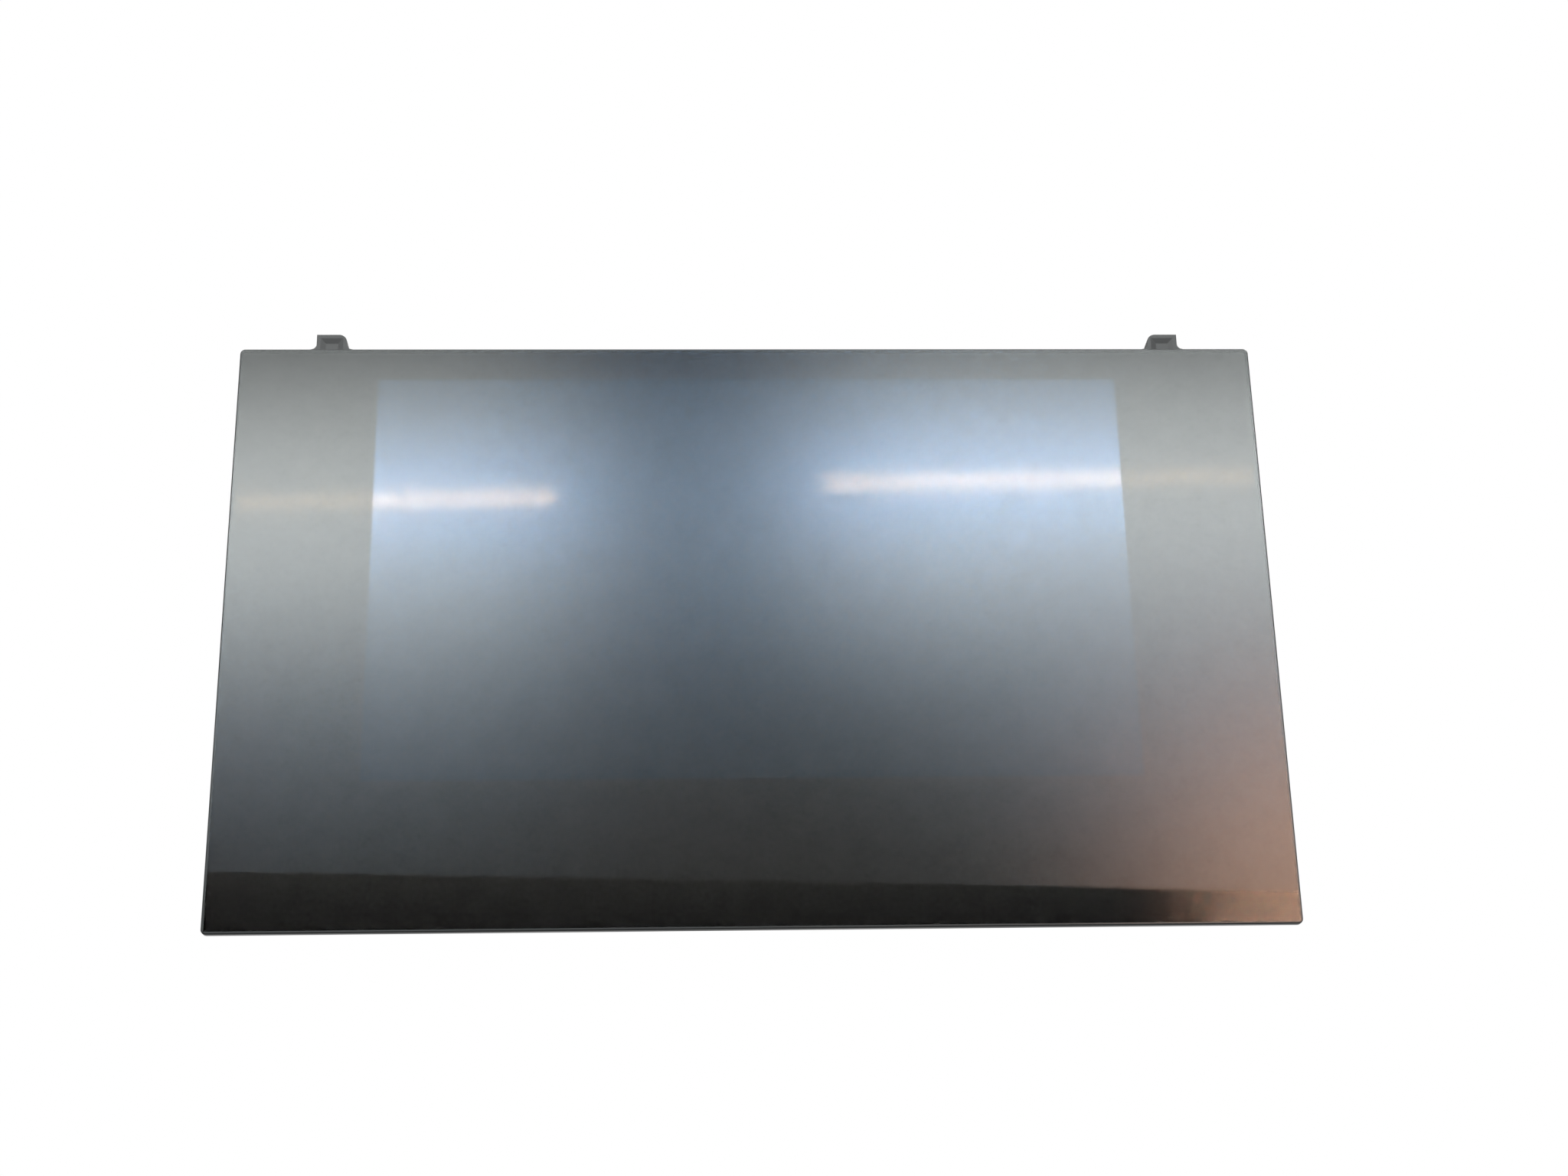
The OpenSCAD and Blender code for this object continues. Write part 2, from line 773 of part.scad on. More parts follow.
module light_guide() {
    color([0.75, 0.9, 0.92]) sheet(guide_front, guide_t) frame_pocket(guide_margin, guide_foot);
}

module reflector_film() {
    color([0.95, 0.95, 0.95]) sheet(reflector_front, film_t) frame_pocket(guide_margin, guide_foot);
}

module lamp_strip() {
    edge = active_w / 2 + guide_margin;
    color([0.9, 0.88, 0.8]) sheet(guide_front, tray_front - guide_front)
        span(-edge, edge, strip_bottom, strip_top);
}

module backlight_lamps() {
    step = active_w / lamp_count;
    color([1, 0.95, 0.6]) sheet(guide_front + (guide_t - lamp_h) / 2, lamp_h)
        for (i = [0 : lamp_count - 1])
            translate([(i + 0.5) * step - active_w / 2, 0])
                span(-lamp_w / 2, lamp_w / 2, strip_top, lamp_top);
}

module backlight_tray() {
    color([0.7, 0.71, 0.72]) sheet(tray_front, tray_t) difference() {
        panel_outline(-bezel_t);
        for (x = [-1, 1], z = [panel_bottom + 8, panel_top - 8])
            translate([x * (panel_half - 8), z]) circle(2);
    }
}

module panel_cushions() {
    edge = panel_half - bezel_t;
    high = panel_top - bezel_t;
    low = panel_bottom + bezel_t + 6;
    color([0.12, 0.12, 0.12]) sheet(tray_back, cushion_t) {
        for (x = [-edge, edge - cushion_w]) span(x, x + cushion_w, low, high);
        for (z = [low, high - cushion_w]) span(cushion_w + 2 - edge, edge - cushion_w - 2, z, z + cushion_w);
    }
}

// A quarter of a bent strip, about the given centre, in the quadrant of the two signs
module bend(centre, right, up) {
    outer = flex_bend + flex_t;
    translate(centre) intersection() {
        difference() {
            circle(outer);
            circle(flex_bend);
        }
        translate([right > 0 ? 0 : -outer, up > 0 ? 0 : -outer]) square(outer);
    }
}

// A flexible circuit seen from the side: down from the panel, back under it and up to its socket
module flex_side(front, start_z) {
    bend_z = run_z + flex_t + flex_bend;
    first = front + flex_t + flex_bend;
    last = flex_back - flex_t - flex_bend;
    span(front, front + flex_t, bend_z, start_z);
    bend([first, bend_z], -1, -1);
    span(first, last, run_z, run_z + flex_t);
    bend([last, bend_z], 1, -1);
    span(flex_back - flex_t, flex_back, bend_z, socket_z + 2);
}

module panel_flex() {
    color([0.75, 0.45, 0.12]) across(panel_flex_w, panel_flex_x)
        flex_side(array_front - flex_t, active_bottom - cell_margin - ledge_h + 1.4);
}

module touch_flex() {
    color([0.78, 0.48, 0.14]) across(touch_flex_w, touch_flex_x)
        flex_side(sensor_back - flex_t, active_bottom - sensor_margin);
}

module backlight_flex() {
    color([0.8, 0.5, 0.16]) across(lamp_flex_w, lamp_flex_x)
        flex_side(tray_front - flex_t - 0.2, strip_bottom);
}

// The slots that let the flexible circuits through the chassis plate
module plate_slots() {
    low = run_z - 0.4;
    high = run_z + flex_t + 0.4;
    for (c = [[panel_flex_w, panel_flex_x], [touch_flex_w, touch_flex_x], [lamp_flex_w, lamp_flex_x]])
        rounded_span(c[1] - c[0] / 2 - 0.8, c[1] + c[0] / 2 + 0.8, low, high, 0.4);
}

module chassis_plate() {
    color([0.62, 0.63, 0.62]) sheet(plate_front, plate_t) difference() {
        flange_outline();
        screw_holes(concat(side_points, bottom_points), screw_r + pass_gap);
        plate_slots();
    }
}

module board_standoffs() {
    color([0.75, 0.75, 0.72]) sheet(plate_back, standoff_h) for (p = board_points) translate(p) difference() {
        circle(standoff_r);
        circle(screw_r + thread_gap);
    }
}

module main_board() {
    color([0.08, 0.3, 0.16]) sheet(board_front, board_t) difference() {
        rounded_span(-board_half, board_half, -board_high, board_high, 3);
        screw_holes(board_points, screw_r + pass_gap);
    }
}

// The six-lobed recess in a screw's head
module drive_recess() {
    circle(0.9);
    for (a = [0 : 60 : 300]) rotate(a) translate([1, 0]) circle(0.34);
}

// A screw that points to -Y, with its head's underside at the given seat
module screw(p, seat, radius, length) {
    translate([p[0], seat, p[1]]) rotate([-90, 0, 0]) difference() {
        rotate_extrude() polygon([
            [0, -length], [screw_r - 0.4, -length], [screw_r, 0.6 - length], [screw_r, 0], [radius, 0],
            [radius, head_h * 0.45], [radius * 0.8, head_h * 0.85], [radius * 0.55, head_h], [0, head_h]
        ]);
        translate([0, 0, head_h - 1.1]) linear_extrude(2) drive_recess();
    }
}

module board_screws() {
    color([0.75, 0.74, 0.7]) for (p = board_points) screw(p, board_back, standoff_r, board_t + grip);
}

// A chip that sits on the rear of the main board, with its middle at the given point
module chip(p, w, h, t) {
    sheet(board_back, t) translate(p) square([w, h], center = true);
}

module processor() {
    color([0.1, 0.1, 0.11]) {
        chip(processor_at, processor_w, processor_w, processor_t * 0.45);
        chip(processor_at, processor_w - 3, processor_w - 3, processor_t);
    }
}

module thermal_pad() {
    color([0.6, 0.65, 0.75]) sheet(board_back + processor_t, pad_t)
        translate(processor_at) square(processor_w - 3, center = true);
}

module memory_chips() {
    color([0.1, 0.1, 0.11]) for (side = [-1, 1])
        chip([memory_x, processor_at[1] + side * (memory_h + chip_gap) / 2], memory_w, memory_h, chip_t);
}

module flash_chip() {
    color([0.1, 0.1, 0.11]) chip([flash_x, processor_at[1]], flash_w, flash_h, chip_t);
}

module shield_can() {
    color([0.72, 0.73, 0.72]) difference() {
        chip(can_at, can_w, can_h, can_rise);
        sheet(board_back - 1, can_rise - can_t + 1)
            translate(can_at) square([can_w - 2 * can_t, can_h - 2 * can_t], center = true);
        for (i = [-2 : 2], j = [-1 : 1])
            sheet(board_back + can_rise / 2, can_rise)
                translate([can_at[0] + i * can_w / 6.4, can_at[1] + j * can_h / 4.4]) circle(0.7);
    }
}

module video_receiver() {
    color([0.1, 0.1, 0.11]) chip(can_at, receiver_w, receiver_w, small_chip_t);
}

module touch_controller() {
    color([0.1, 0.1, 0.11])
        chip([touch_flex_x - 4, processor_at[1] - 18], controller_w, controller_w, small_chip_t);
}

// The three places of one kind of power part, one above the other
module power_places(x) {
    for (i = [0 : 2]) translate([x, board_back, inductor_top - i * inductor_pitch]) children();
}

module power_inductors() {
    edge = inductor_w / 2 - 0.4;
    color([0.2, 0.2, 0.22]) power_places(inductor_x) {
        sheet(0, inductor_h * 0.25) square(inductor_w, center = true);
        sheet(0, inductor_h) rounded_span(-edge, edge, -edge, edge, 1.2);
    }
}

module capacitors() {
    color([0.7, 0.7, 0.72]) power_places(inductor_x + capacitor_step) {
        sheet(0, 1) square(2 * capacitor_r + 0.4, center = true);
        sheet(0, capacitor_h) circle(capacitor_r);
    }
}

module crystal() {
    color([0.8, 0.8, 0.8])
        chip([processor_at[0] - processor_w / 2 - 7.5, processor_at[1] - 6], 3.2, 2.5, 0.8);
}

// Rows of small resistors and capacitors beside the larger chips
module chip_parts() {
    column_x = inductor_x - 10;
    color([0.6, 0.5, 0.38]) {
        for (i = [-3 : 3], side = [-1, 1])
            chip([processor_at[0] + i * part_pitch, processor_at[1] + side * part_row],
                 part_w, part_h, part_t);
        for (i = [0 : 4])
            chip([column_x, inductor_top - i * 1.5 * part_pitch], part_w * 1.6, part_h * 1.3, part_t * 1.5);
    }
}

// A low socket on the front of the board that holds the end of a flexible circuit
module flex_socket(middle, width) {
    difference() {
        sheet(board_front - socket_t, socket_t)
            span(middle - width / 2 - 2, middle + width / 2 + 2, socket_z, socket_z + socket_h);
        sheet(flex_back - flex_t - 0.05, flex_t + 0.1)
            span(middle - width / 2 - 0.2, middle + width / 2 + 0.2, socket_z - 1, socket_z + 2.1);
    }
}

module panel_socket() {
    color([0.15, 0.12, 0.1]) flex_socket(panel_flex_x, panel_flex_w);
}

module touch_socket() {
    color([0.15, 0.12, 0.1]) flex_socket(touch_flex_x, touch_flex_w);
}

module backlight_socket() {
    color([0.15, 0.12, 0.1]) flex_socket(lamp_flex_x, lamp_flex_w);
}

function contact_points() = [
    for (i = [0 : contact_count - 1], z = [-contact_rise, contact_rise])
        [power_at[0] + (i - (contact_count - 1) / 2) * contact_pitch, power_at[1] + z]
];

module power_socket() {
    half_w = power_w / 2;
    half_h = power_h / 2;
    inner_w = half_w - socket_wall;
    inner_h = half_h - socket_wall;
    key_x = half_w - 5.5;
    cavity_floor = socket_mouth - power_cavity;
    color([0.13, 0.13, 0.14]) difference() {
        union() {
            sheet(board_back, socket_mouth - board_back) translate(power_at)
                rounded_span(-half_w, half_w, -half_h, half_h, 1);
            sheet(board_back, 3) translate(power_at)
                rounded_span(-half_w - 2, half_w + 2, -half_h, half_h, 1);
        }
        sheet(cavity_floor, power_cavity + 1) translate(power_at) difference() {
            rounded_span(-inner_w, inner_w, -inner_h, inner_h, 0.6);
            for (x = [-key_x, key_x]) translate([x, inner_h]) square([1.2, 1.6], center = true);
        }
        sheet(socket_mouth - 4.5, 2.2) translate(power_at) span(-3, 3, inner_h - 0.1, half_h + 1);
        for (p = contact_points()) sheet(board_back - 1, power_cavity + 20)
            translate(p) square(contact_w + 0.1, center = true);
    }
}

module power_contacts() {
    tip = socket_mouth - power_cavity + contact_length;
    color([0.8, 0.65, 0.3]) for (p = contact_points()) sheet(board_back, tip - board_back)
        translate(p) square(contact_w, center = true);
}

function video_points() = [for (s = [-1, 1]) [video_at[0] + s * video_w / 4.2, video_at[1]]];

module video_socket() {
    half_w = video_w / 2;
    half_h = video_h / 2;
    color([0.1, 0.22, 0.5]) difference() {
        union() {
            sheet(board_back, socket_mouth - board_back) translate(video_at)
                rounded_span(-half_w, half_w, -half_h, half_h, 1.5);
            sheet(board_back, 3) translate(video_at)
                rounded_span(-half_w - 2, half_w + 2, -half_h, half_h, 1);
        }
        for (p = video_points()) sheet(socket_mouth - video_cavity, video_cavity + 1) translate(p) {
            circle(video_bore_r);
            translate([0, video_bore_r - 0.2]) square([1.6, 1.4], center = true);
        }
        for (p = video_points()) sheet(board_back - 1, 30) translate(p) circle(1.35);
    }
}

// Each coaxial contact: an outer tube that stands on the bore's floor, and its centre wire
module video_contacts() {
    bore_floor = socket_mouth - video_cavity;
    color([0.85, 0.8, 0.65]) for (p = video_points()) {
        sheet(board_back, bore_floor - board_back) translate(p) circle(1.3);
        sheet(bore_floor, video_cavity - 2.4) translate(p) difference() {
            circle(2.4);
            circle(1.9);
        }
        sheet(bore_floor, 0.6) translate(p) circle(2.4);
        sheet(bore_floor, video_cavity - 3.4) translate(p) circle(0.45);
    }
}

// One drafted fin with sloped ends, standing on the housing's floor. It ends above the sockets, or runs on
// down beside them.
module fin(x) {
    left = video_at[0] - video_w / 2 - window_gap - collar_t - fin_root;
    right = power_at[0] + power_w / 2 + window_gap + collar_t + fin_root;
    low = x > left && x < right ? fin_low : fin_foot;
    tip = floor_back + fin_rise;
    slope = fin_rise * fin_slope;
    intersection() {
        translate([x, 0, low]) linear_extrude(fin_high - low) polygon([
            [-fin_root / 2, floor_back - sunk], [fin_root / 2, floor_back - sunk], [fin_root / 2, floor_back],
            [fin_tip / 2, tip], [-fin_tip / 2, tip], [-fin_root / 2, floor_back]
        ]);
        across(2 * fin_root, x) polygon([
            [floor_back - sunk, low], [floor_back, low], [tip, low + slope],
            [tip, fin_high - slope], [floor_back, fin_high], [floor_back - sunk, fin_high]
        ]);
    }
}

// The window in the housing's floor for one rear socket, grown by a margin
module socket_window(p, w, h, margin) {
    grown_w = w / 2 + window_gap + margin;
    grown_h = h / 2 + window_gap + margin;
    translate(p) rounded_span(-grown_w, grown_w, -grown_h, grown_h, 1.2);
}

module socket_windows(margin) {
    socket_window(power_at, power_w, power_h, margin);
    socket_window(video_at, video_w, video_h, margin);
}

// The body of the housing, or its cavity: a drafted box whose rear edge is rounded in steps
module drafted_box(half, high, front, back, corner, lean, rounding, step) {
    slice = 0.1;
    hull() {
        sheet(front, slice) rounded_span(-half, half, -high, high, corner, $fn = 32);
        for (a = [0 : step : 90]) {
            inset = lean + rounding * (1 - cos(a));
            sheet(back - rounding * (1 - sin(a)) - slice, slice)
                rounded_span(inset - half, half - inset, inset - high, high - inset, corner, $fn = 32);
        }
    }
}

// A rib on the housing's floor from a mounting boss out to the rim
module boss_rib(x, z, length_x, length_z) {
    half = brace_t / 2;
    sheet(floor_back - sunk, boss_rise / 2 + sunk) translate([x, z])
        span(min(0, length_x) - half, max(0, length_x) + half,
             min(0, length_z) - half, max(0, length_z) + half);
}

// The two gussets that tie one screw ear to the housing's wall, beside the screw's head
module ear_gussets(p, turn) {
    root = ear_r - ear_lap + body_inset + (draft + wall_t) / 2;
    tip = sqrt(max(pow(head_r, 2) - pow(ear_r - gusset_t, 2), 0)) + head_room;
    translate([p[0], plate_back + flange_t, p[1]]) rotate([0, turn, 0])
        for (z = [-ear_r, ear_r - gusset_t]) translate([0, 0, z]) linear_extrude(gusset_t)
            polygon([[-root, -sunk], [-tip, -sunk], [-tip, 0], [-root, gusset_rise]]);
}

// The round marks that the mould's ejector pins leave on the floor
module ejector_marks() {
    high = body_high - draft - rear_radius - mark_r - 1.5;
    for (x = [-1, 1]) {
        for (z = [-20, 20]) translate([x * pin_x * 0.8, z]) circle(mark_r);
        translate([x * mount_w / 5, high]) circle(mark_r);
    }
}

module mount_places() {
    for (x = [-1, 1], z = [-1, 1]) translate([x * mount_w / 2, z * mount_h / 2]) children();
}

module housing_body() {
    difference() {
        union() {
            drafted_box(body_half, body_high, plate_back, floor_back, housing_corner, draft,
                        rear_radius, 22.5);
            sheet(plate_back, flange_t) flange_outline();
        }
        difference() {
            drafted_box(cavity_half, cavity_high, plate_back - sunk, floor_front, housing_corner - wall_t,
                        draft, draft, 90);
            sheet(board_back + processor_t + pad_t, housing_depth)
                translate(processor_at) square(pedestal_w, center = true);
            sheet(-tap_depth - floor_t, tap_depth) mount_places() circle(mount_r);
        }
        sheet(floor_back - mark_depth, mark_depth + 1) ejector_marks();
    }
}

module rear_housing() {
    rib_x = body_half - draft - rear_radius - (mount_w + brace_t) / 2;
    rib_z = body_high - draft - rear_radius - (mount_h + brace_t) / 2;
    pin_edge = 0.4;
    color([0.55, 0.56, 0.57]) difference() {
        union() {
            housing_body();
            sheet(floor_back - sunk, boss_rise + sunk) {
                mount_places() circle(mount_r);
                for (x = [-pin_x, pin_x]) translate([x, 0]) circle(pin_r + pin_wall);
            }
            for (x = [-1, 1], z = [-1, 1]) {
                boss_rib(x * mount_w / 2, z * mount_h / 2, x * rib_x, 0);
                boss_rib(x * mount_w / 2, z * mount_h / 2, 0, z * rib_z);
            }
            for (x = [-pin_x, pin_x]) {
                sheet(-sunk, pin_length - pin_edge + sunk) translate([x, 0]) circle(pin_r);
                translate([x, pin_length - pin_edge, 0]) rotate([-90, 0, 0])
                    cylinder(pin_edge, pin_r, pin_r - pin_edge);
            }
            for (p = side_points) ear_gussets(p, p[0] > 0 ? 0 : 180);
            for (p = bottom_points) ear_gussets(p, 90);
            for (i = [0 : fin_count - 1]) fin((i - (fin_count - 1) / 2) * fin_pitch);
            sheet(floor_back - sunk, collar_rise + sunk) socket_windows(collar_t);
        }
        sheet(floor_front - 1, floor_t + collar_rise + 2) socket_windows(0);
        sheet(plate_back - 1, flange_t + 2)
            screw_holes(concat(side_points, bottom_points), screw_r + pass_gap);
        sheet(-tap_depth, tap_depth + 1) mount_places() circle(tap_r);
    }
}

module housing_screws() {
    color([0.3, 0.3, 0.31]) for (p = concat(side_points, bottom_points))
        screw(p, plate_back + flange_t, head_r, flange_t + plate_t + grip);
}

cover_glass();
border_print();
sensor_adhesive();
touch_sensor();
panel_adhesive();
glass_tape();
carrier_frame();
front_polarizer();
filter_glass();
array_glass();
rear_polarizer();
driver_chips();
panel_bezel();
panel_frame();
upper_prism_film();
lower_prism_film();
diffuser_film();
light_guide();
reflector_film();
lamp_strip();
backlight_lamps();
backlight_tray();
panel_cushions();
panel_flex();
touch_flex();
backlight_flex();
chassis_plate();
board_standoffs();
main_board();
board_screws();
processor();
thermal_pad();
memory_chips();
flash_chip();
shield_can();
video_receiver();
touch_controller();
power_inductors();
capacitors();
crystal();
chip_parts();
panel_socket();
touch_socket();
backlight_socket();
power_socket();
power_contacts();
video_socket();
video_contacts();
rear_housing();
housing_screws();
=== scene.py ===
"""A bare car infotainment display: bonded cover glass, liquid crystal panel, moulded carrier frame,
main board and cast rear housing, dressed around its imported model. All lengths are in metres."""

import math

import bpy
from mathutils import Matrix, Vector


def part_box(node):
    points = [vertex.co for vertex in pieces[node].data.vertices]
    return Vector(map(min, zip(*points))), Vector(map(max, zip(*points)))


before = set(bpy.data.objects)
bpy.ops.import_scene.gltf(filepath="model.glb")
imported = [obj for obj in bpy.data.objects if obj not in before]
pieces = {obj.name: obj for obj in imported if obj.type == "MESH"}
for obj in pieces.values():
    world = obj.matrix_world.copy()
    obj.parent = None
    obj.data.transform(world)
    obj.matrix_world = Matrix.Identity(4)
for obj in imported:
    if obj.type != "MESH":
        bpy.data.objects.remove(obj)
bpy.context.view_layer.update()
scene = bpy.context.scene

# Camera
# It stands half a metre in front of the glass and a little to the left, well below its middle, and
# looks up at it with its right side tipped slightly down, as when the photograph was taken.
photo_width_px = 2048
focal_length_px = 3170
sensor_width_mm = 36
nearest_seen = 0.01
camera_from_glass = Vector((-0.0155, -0.5269, -0.1955))
heading = math.radians(2.5)
rise = math.radians(21.22)
roll = math.radians(-1.16)

glass_low, glass_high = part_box("cover_glass")
glass_face = Vector(((glass_low.x + glass_high.x) / 2, glass_low.y, (glass_low.z + glass_high.z) / 2))
camera_data = bpy.data.cameras.new("camera")
camera_data.sensor_width = sensor_width_mm
camera_data.lens = focal_length_px / photo_width_px * sensor_width_mm
camera_data.clip_start = nearest_seen
camera = bpy.data.objects.new("camera", camera_data)
turn = Matrix.Rotation(-heading, 4, "Z") @ Matrix.Rotation(math.pi / 2 + rise, 4, "X")
turn = turn @ Matrix.Rotation(roll, 4, "Z")
camera.matrix_world = Matrix.Translation(glass_face + camera_from_glass) @ turn
scene.collection.objects.link(camera)
scene.camera = camera

# Floor and background
# A smooth pale studio floor, painted matte, that keeps the display's soft shadow and runs out into the
# white of the background. The display is held clear of it by its rear mounts, as it is in a dashboard.
floor_drop = 0.26
floor_size = 24
floor_colour = (0.9, 0.9, 0.895, 1)
floor_roughness = 0.8
floor_shine = 0.1
fade_from = 0.7
fade_to = 2.2
background_light = 0.65
background_shown = 1


def reckon(tree, operation, first, second=0):
    """One step of arithmetic on sockets or numbers."""
    node = tree.nodes.new("ShaderNodeMath")
    node.operation = operation
    for socket, value in zip(node.inputs, (first, second)):
        if isinstance(value, (int, float)):
            socket.default_value = value
        else:
            tree.links.new(value, socket)
    return node.outputs[0]


floor_mesh = bpy.data.meshes.new("floor")
edge = floor_size / 2
corners = [(-edge, -edge, 0), (edge, -edge, 0), (edge, edge, 0), (-edge, edge, 0)]
floor_mesh.from_pydata(corners, [], [(0, 1, 2, 3)])
floor = bpy.data.objects.new("floor", floor_mesh)
floor.location = (0, 0, -floor_drop)
scene.collection.objects.link(floor)
floor_paint = bpy.data.materials.new("floor paint")
floor_paint.use_nodes = True
tree = floor_paint.node_tree
paint = tree.nodes["Principled BSDF"]
paint.inputs["Base Color"].default_value = floor_colour
paint.inputs["Roughness"].default_value = floor_roughness
paint.inputs["Specular IOR Level"].default_value = floor_shine
place = tree.nodes.new("ShaderNodeTexCoord")
reach = tree.nodes.new("ShaderNodeVectorMath")
reach.operation = "LENGTH"
tree.links.new(place.outputs["Object"], reach.inputs[0])
fade = tree.nodes.new("ShaderNodeMapRange")
fade.interpolation_type = "SMOOTHSTEP"
fade.inputs["From Min"].default_value = fade_from
fade.inputs["From Max"].default_value = fade_to
tree.links.new(reach.outputs["Value"], fade.inputs["Value"])
ray = tree.nodes.new("ShaderNodeLightPath")
faded = reckon(tree, "MULTIPLY", fade.outputs[0], ray.outputs["Is Camera Ray"])
white = tree.nodes.new("ShaderNodeEmission")
ground = tree.nodes.new("ShaderNodeMixShader")
tree.links.new(faded, ground.inputs[0])
tree.links.new(paint.outputs[0], ground.inputs[1])
tree.links.new(white.outputs[0], ground.inputs[2])
tree.links.new(ground.outputs[0], tree.nodes["Material Output"].inputs["Surface"])
floor_mesh.materials.append(floor_paint)

world = bpy.data.worlds.new("pale room")
scene.world = world
world.use_nodes = True
room = world.node_tree
room.nodes.clear()
ray = room.nodes.new("ShaderNodeLightPath")
looked_at = reckon(room, "MAXIMUM", ray.outputs["Is Camera Ray"], ray.outputs["Is Glossy Ray"])
looked_at_or_through = reckon(room, "MAXIMUM", looked_at, ray.outputs["Is Transmission Ray"])
either = room.nodes.new("ShaderNodeMixShader")
room.links.new(looked_at_or_through, either.inputs[0])
for socket, strength in ((either.inputs[1], background_light), (either.inputs[2], background_shown)):
    light = room.nodes.new("ShaderNodeBackground")
    light.inputs["Color"].default_value = (1, 1, 1, 1)
    light.inputs["Strength"].default_value = strength
    room.links.new(light.outputs[0], socket)
out = room.nodes.new("ShaderNodeOutputWorld")
room.links.new(either.outputs[0], out.inputs["Surface"])

# Studio lamps
# Two long tube lamps hang in front, with a gap between their ends, over dim wall panels and a small warm
# one low on the right. They light the glass, and the tubes the hooks above it too. In the coatings behind
# the glass each tube shows as a thin warm line inside a bluish glow. Wide soft lamps light the rest evenly.
lamp_wall_y = -2.4
tube_height = 0.014
tube_colour = (0.94, 1, 0.985)
tube_brightness = 940
tubes = {"left tube": ((-1.363, 1.0195), (-0.163, 1.0425)), "right tube": ((0.147, 1.059), (1.347, 1.079))}
coating_lift = Vector((0, 0, 0.009))
glow_reach = 0.095
glow_fall = -1.5
glow_margin = 0.4
glow_floor = 0.03
line_inset = 0.021
glow_colour = (0.205, 0.43, 0.81, 1)
line_colour = (1, 0.66, 0.3, 1)
coating_glow = 76
coating_line = 112
ink_glow = 0
ink_line = 300
wall_panels = {
    "middle panel": ((-0.2, 0.88), (0.4, 1.2), (0.36, 0.63, 1), 13.4),
    "left panel": ((-0.85, 0.72), (-0.2, 0.88), (0.61, 0.79, 1), 17.4),
    "right panel": ((0.4, 0.72), (1.0, 0.88), (0.71, 0.84, 1), 28.9),
    "wide panel": ((-1.25, 0.535), (0.7, 0.88), (1, 1, 0.91), 2.8),
    "warm panel": ((0.635, 0.35), (1.0, 0.72), (1, 0.59, 0.4), 43.7),
}
soft_lamps = {
    "soft lamp above": ((-1.2, -1.6, 2.4), 2.0, 28),
    "soft lamp behind": ((1.6, 2.2, 2.0), 2.0, 28),
}


def hang_lamp(name, place, across, facing, length, height, colour, brightness):
    """Hangs a flat lamp of that length across and that height, whose back faces away from the display."""
    data = bpy.data.lights.new(name, "AREA")
    data.shape = "RECTANGLE"
    data.size = length
    data.size_y = height
    data.color = colour
    data.energy = brightness * math.pi * length * height
    lamp = bpy.data.objects.new(name, data)
    facing = (facing - across * facing.dot(across)).normalized()
    turn = Matrix((across, facing.cross(across), facing)).transposed().to_4x4()
    lamp.matrix_world = Matrix.Translation(place) @ turn
    scene.collection.objects.link(lamp)
    return lamp


def hang_glowing_tube(name, left, right, glow, line, seen_by):
    """Hangs a lamp that shows a tube from left to right as a thin line inside a glow that dies away from it,
    and turns it on one collection of pieces."""
    middle = (left + right) / 2
    span = right - left
    length = span.length + 2 * glow_margin
    height = 2 * glow_margin
    lamp = hang_lamp(name, middle, span.normalized(), middle - glass_face, length, height, (1, 1, 1), 1)
    lamp.light_linking.receiver_collection = seen_by
    lamp.data.use_nodes = True
    tree = lamp.data.node_tree
    place = tree.nodes.new("ShaderNodeNewGeometry")
    axes = tree.nodes.new("ShaderNodeSeparateXYZ")
    tree.links.new(place.outputs["Parametric"], axes.inputs[0])
    along = reckon(tree, "MULTIPLY", reckon(tree, "SUBTRACT", axes.outputs["X"], 0.5), length)
    up = reckon(tree, "MULTIPLY", reckon(tree, "SUBTRACT", axes.outputs["Y"], 0.5), height)
    past_end = reckon(tree, "SUBTRACT", reckon(tree, "ABSOLUTE", along), span.length / 2)
    off_line = reckon(tree, "DIVIDE", up, glow_reach)
    wide = reckon(tree, "ADD", reckon(tree, "MULTIPLY", off_line, off_line), 1)
    past = reckon(tree, "DIVIDE", past_end, glow_reach)
    reach = reckon(tree, "SQRT", reckon(tree, "ADD", wide, reckon(tree, "MULTIPLY", past, past)))
    end = reckon(tree, "SUBTRACT", 1, reckon(tree, "DIVIDE", past, reach))
    fading = reckon(tree, "MULTIPLY", reckon(tree, "POWER", wide, glow_fall), end)
    glowing = reckon(tree, "MAXIMUM", reckon(tree, "SUBTRACT", fading, glow_floor), 0)
    between_ends = reckon(tree, "LESS_THAN", past_end, -line_inset)
    on_line = reckon(tree, "LESS_THAN", reckon(tree, "ABSOLUTE", up), tube_height / 2)
    in_line = reckon(tree, "MULTIPLY", between_ends, on_line)
    shown = tree.nodes.new("ShaderNodeAddShader")
    shares = ((glowing, glow / 2, glow_colour), (in_line, line, line_colour))
    for socket, (pattern, brightness, colour) in zip(shown.inputs, shares):
        light = tree.nodes.new("ShaderNodeEmission")
        light.inputs["Color"].default_value = colour
        tree.links.new(reckon(tree, "MULTIPLY", pattern, brightness), light.inputs["Strength"])
        tree.links.new(light.outputs[0], socket)
    tree.links.new(shown.outputs[0], tree.nodes["Light Output"].inputs["Surface"])


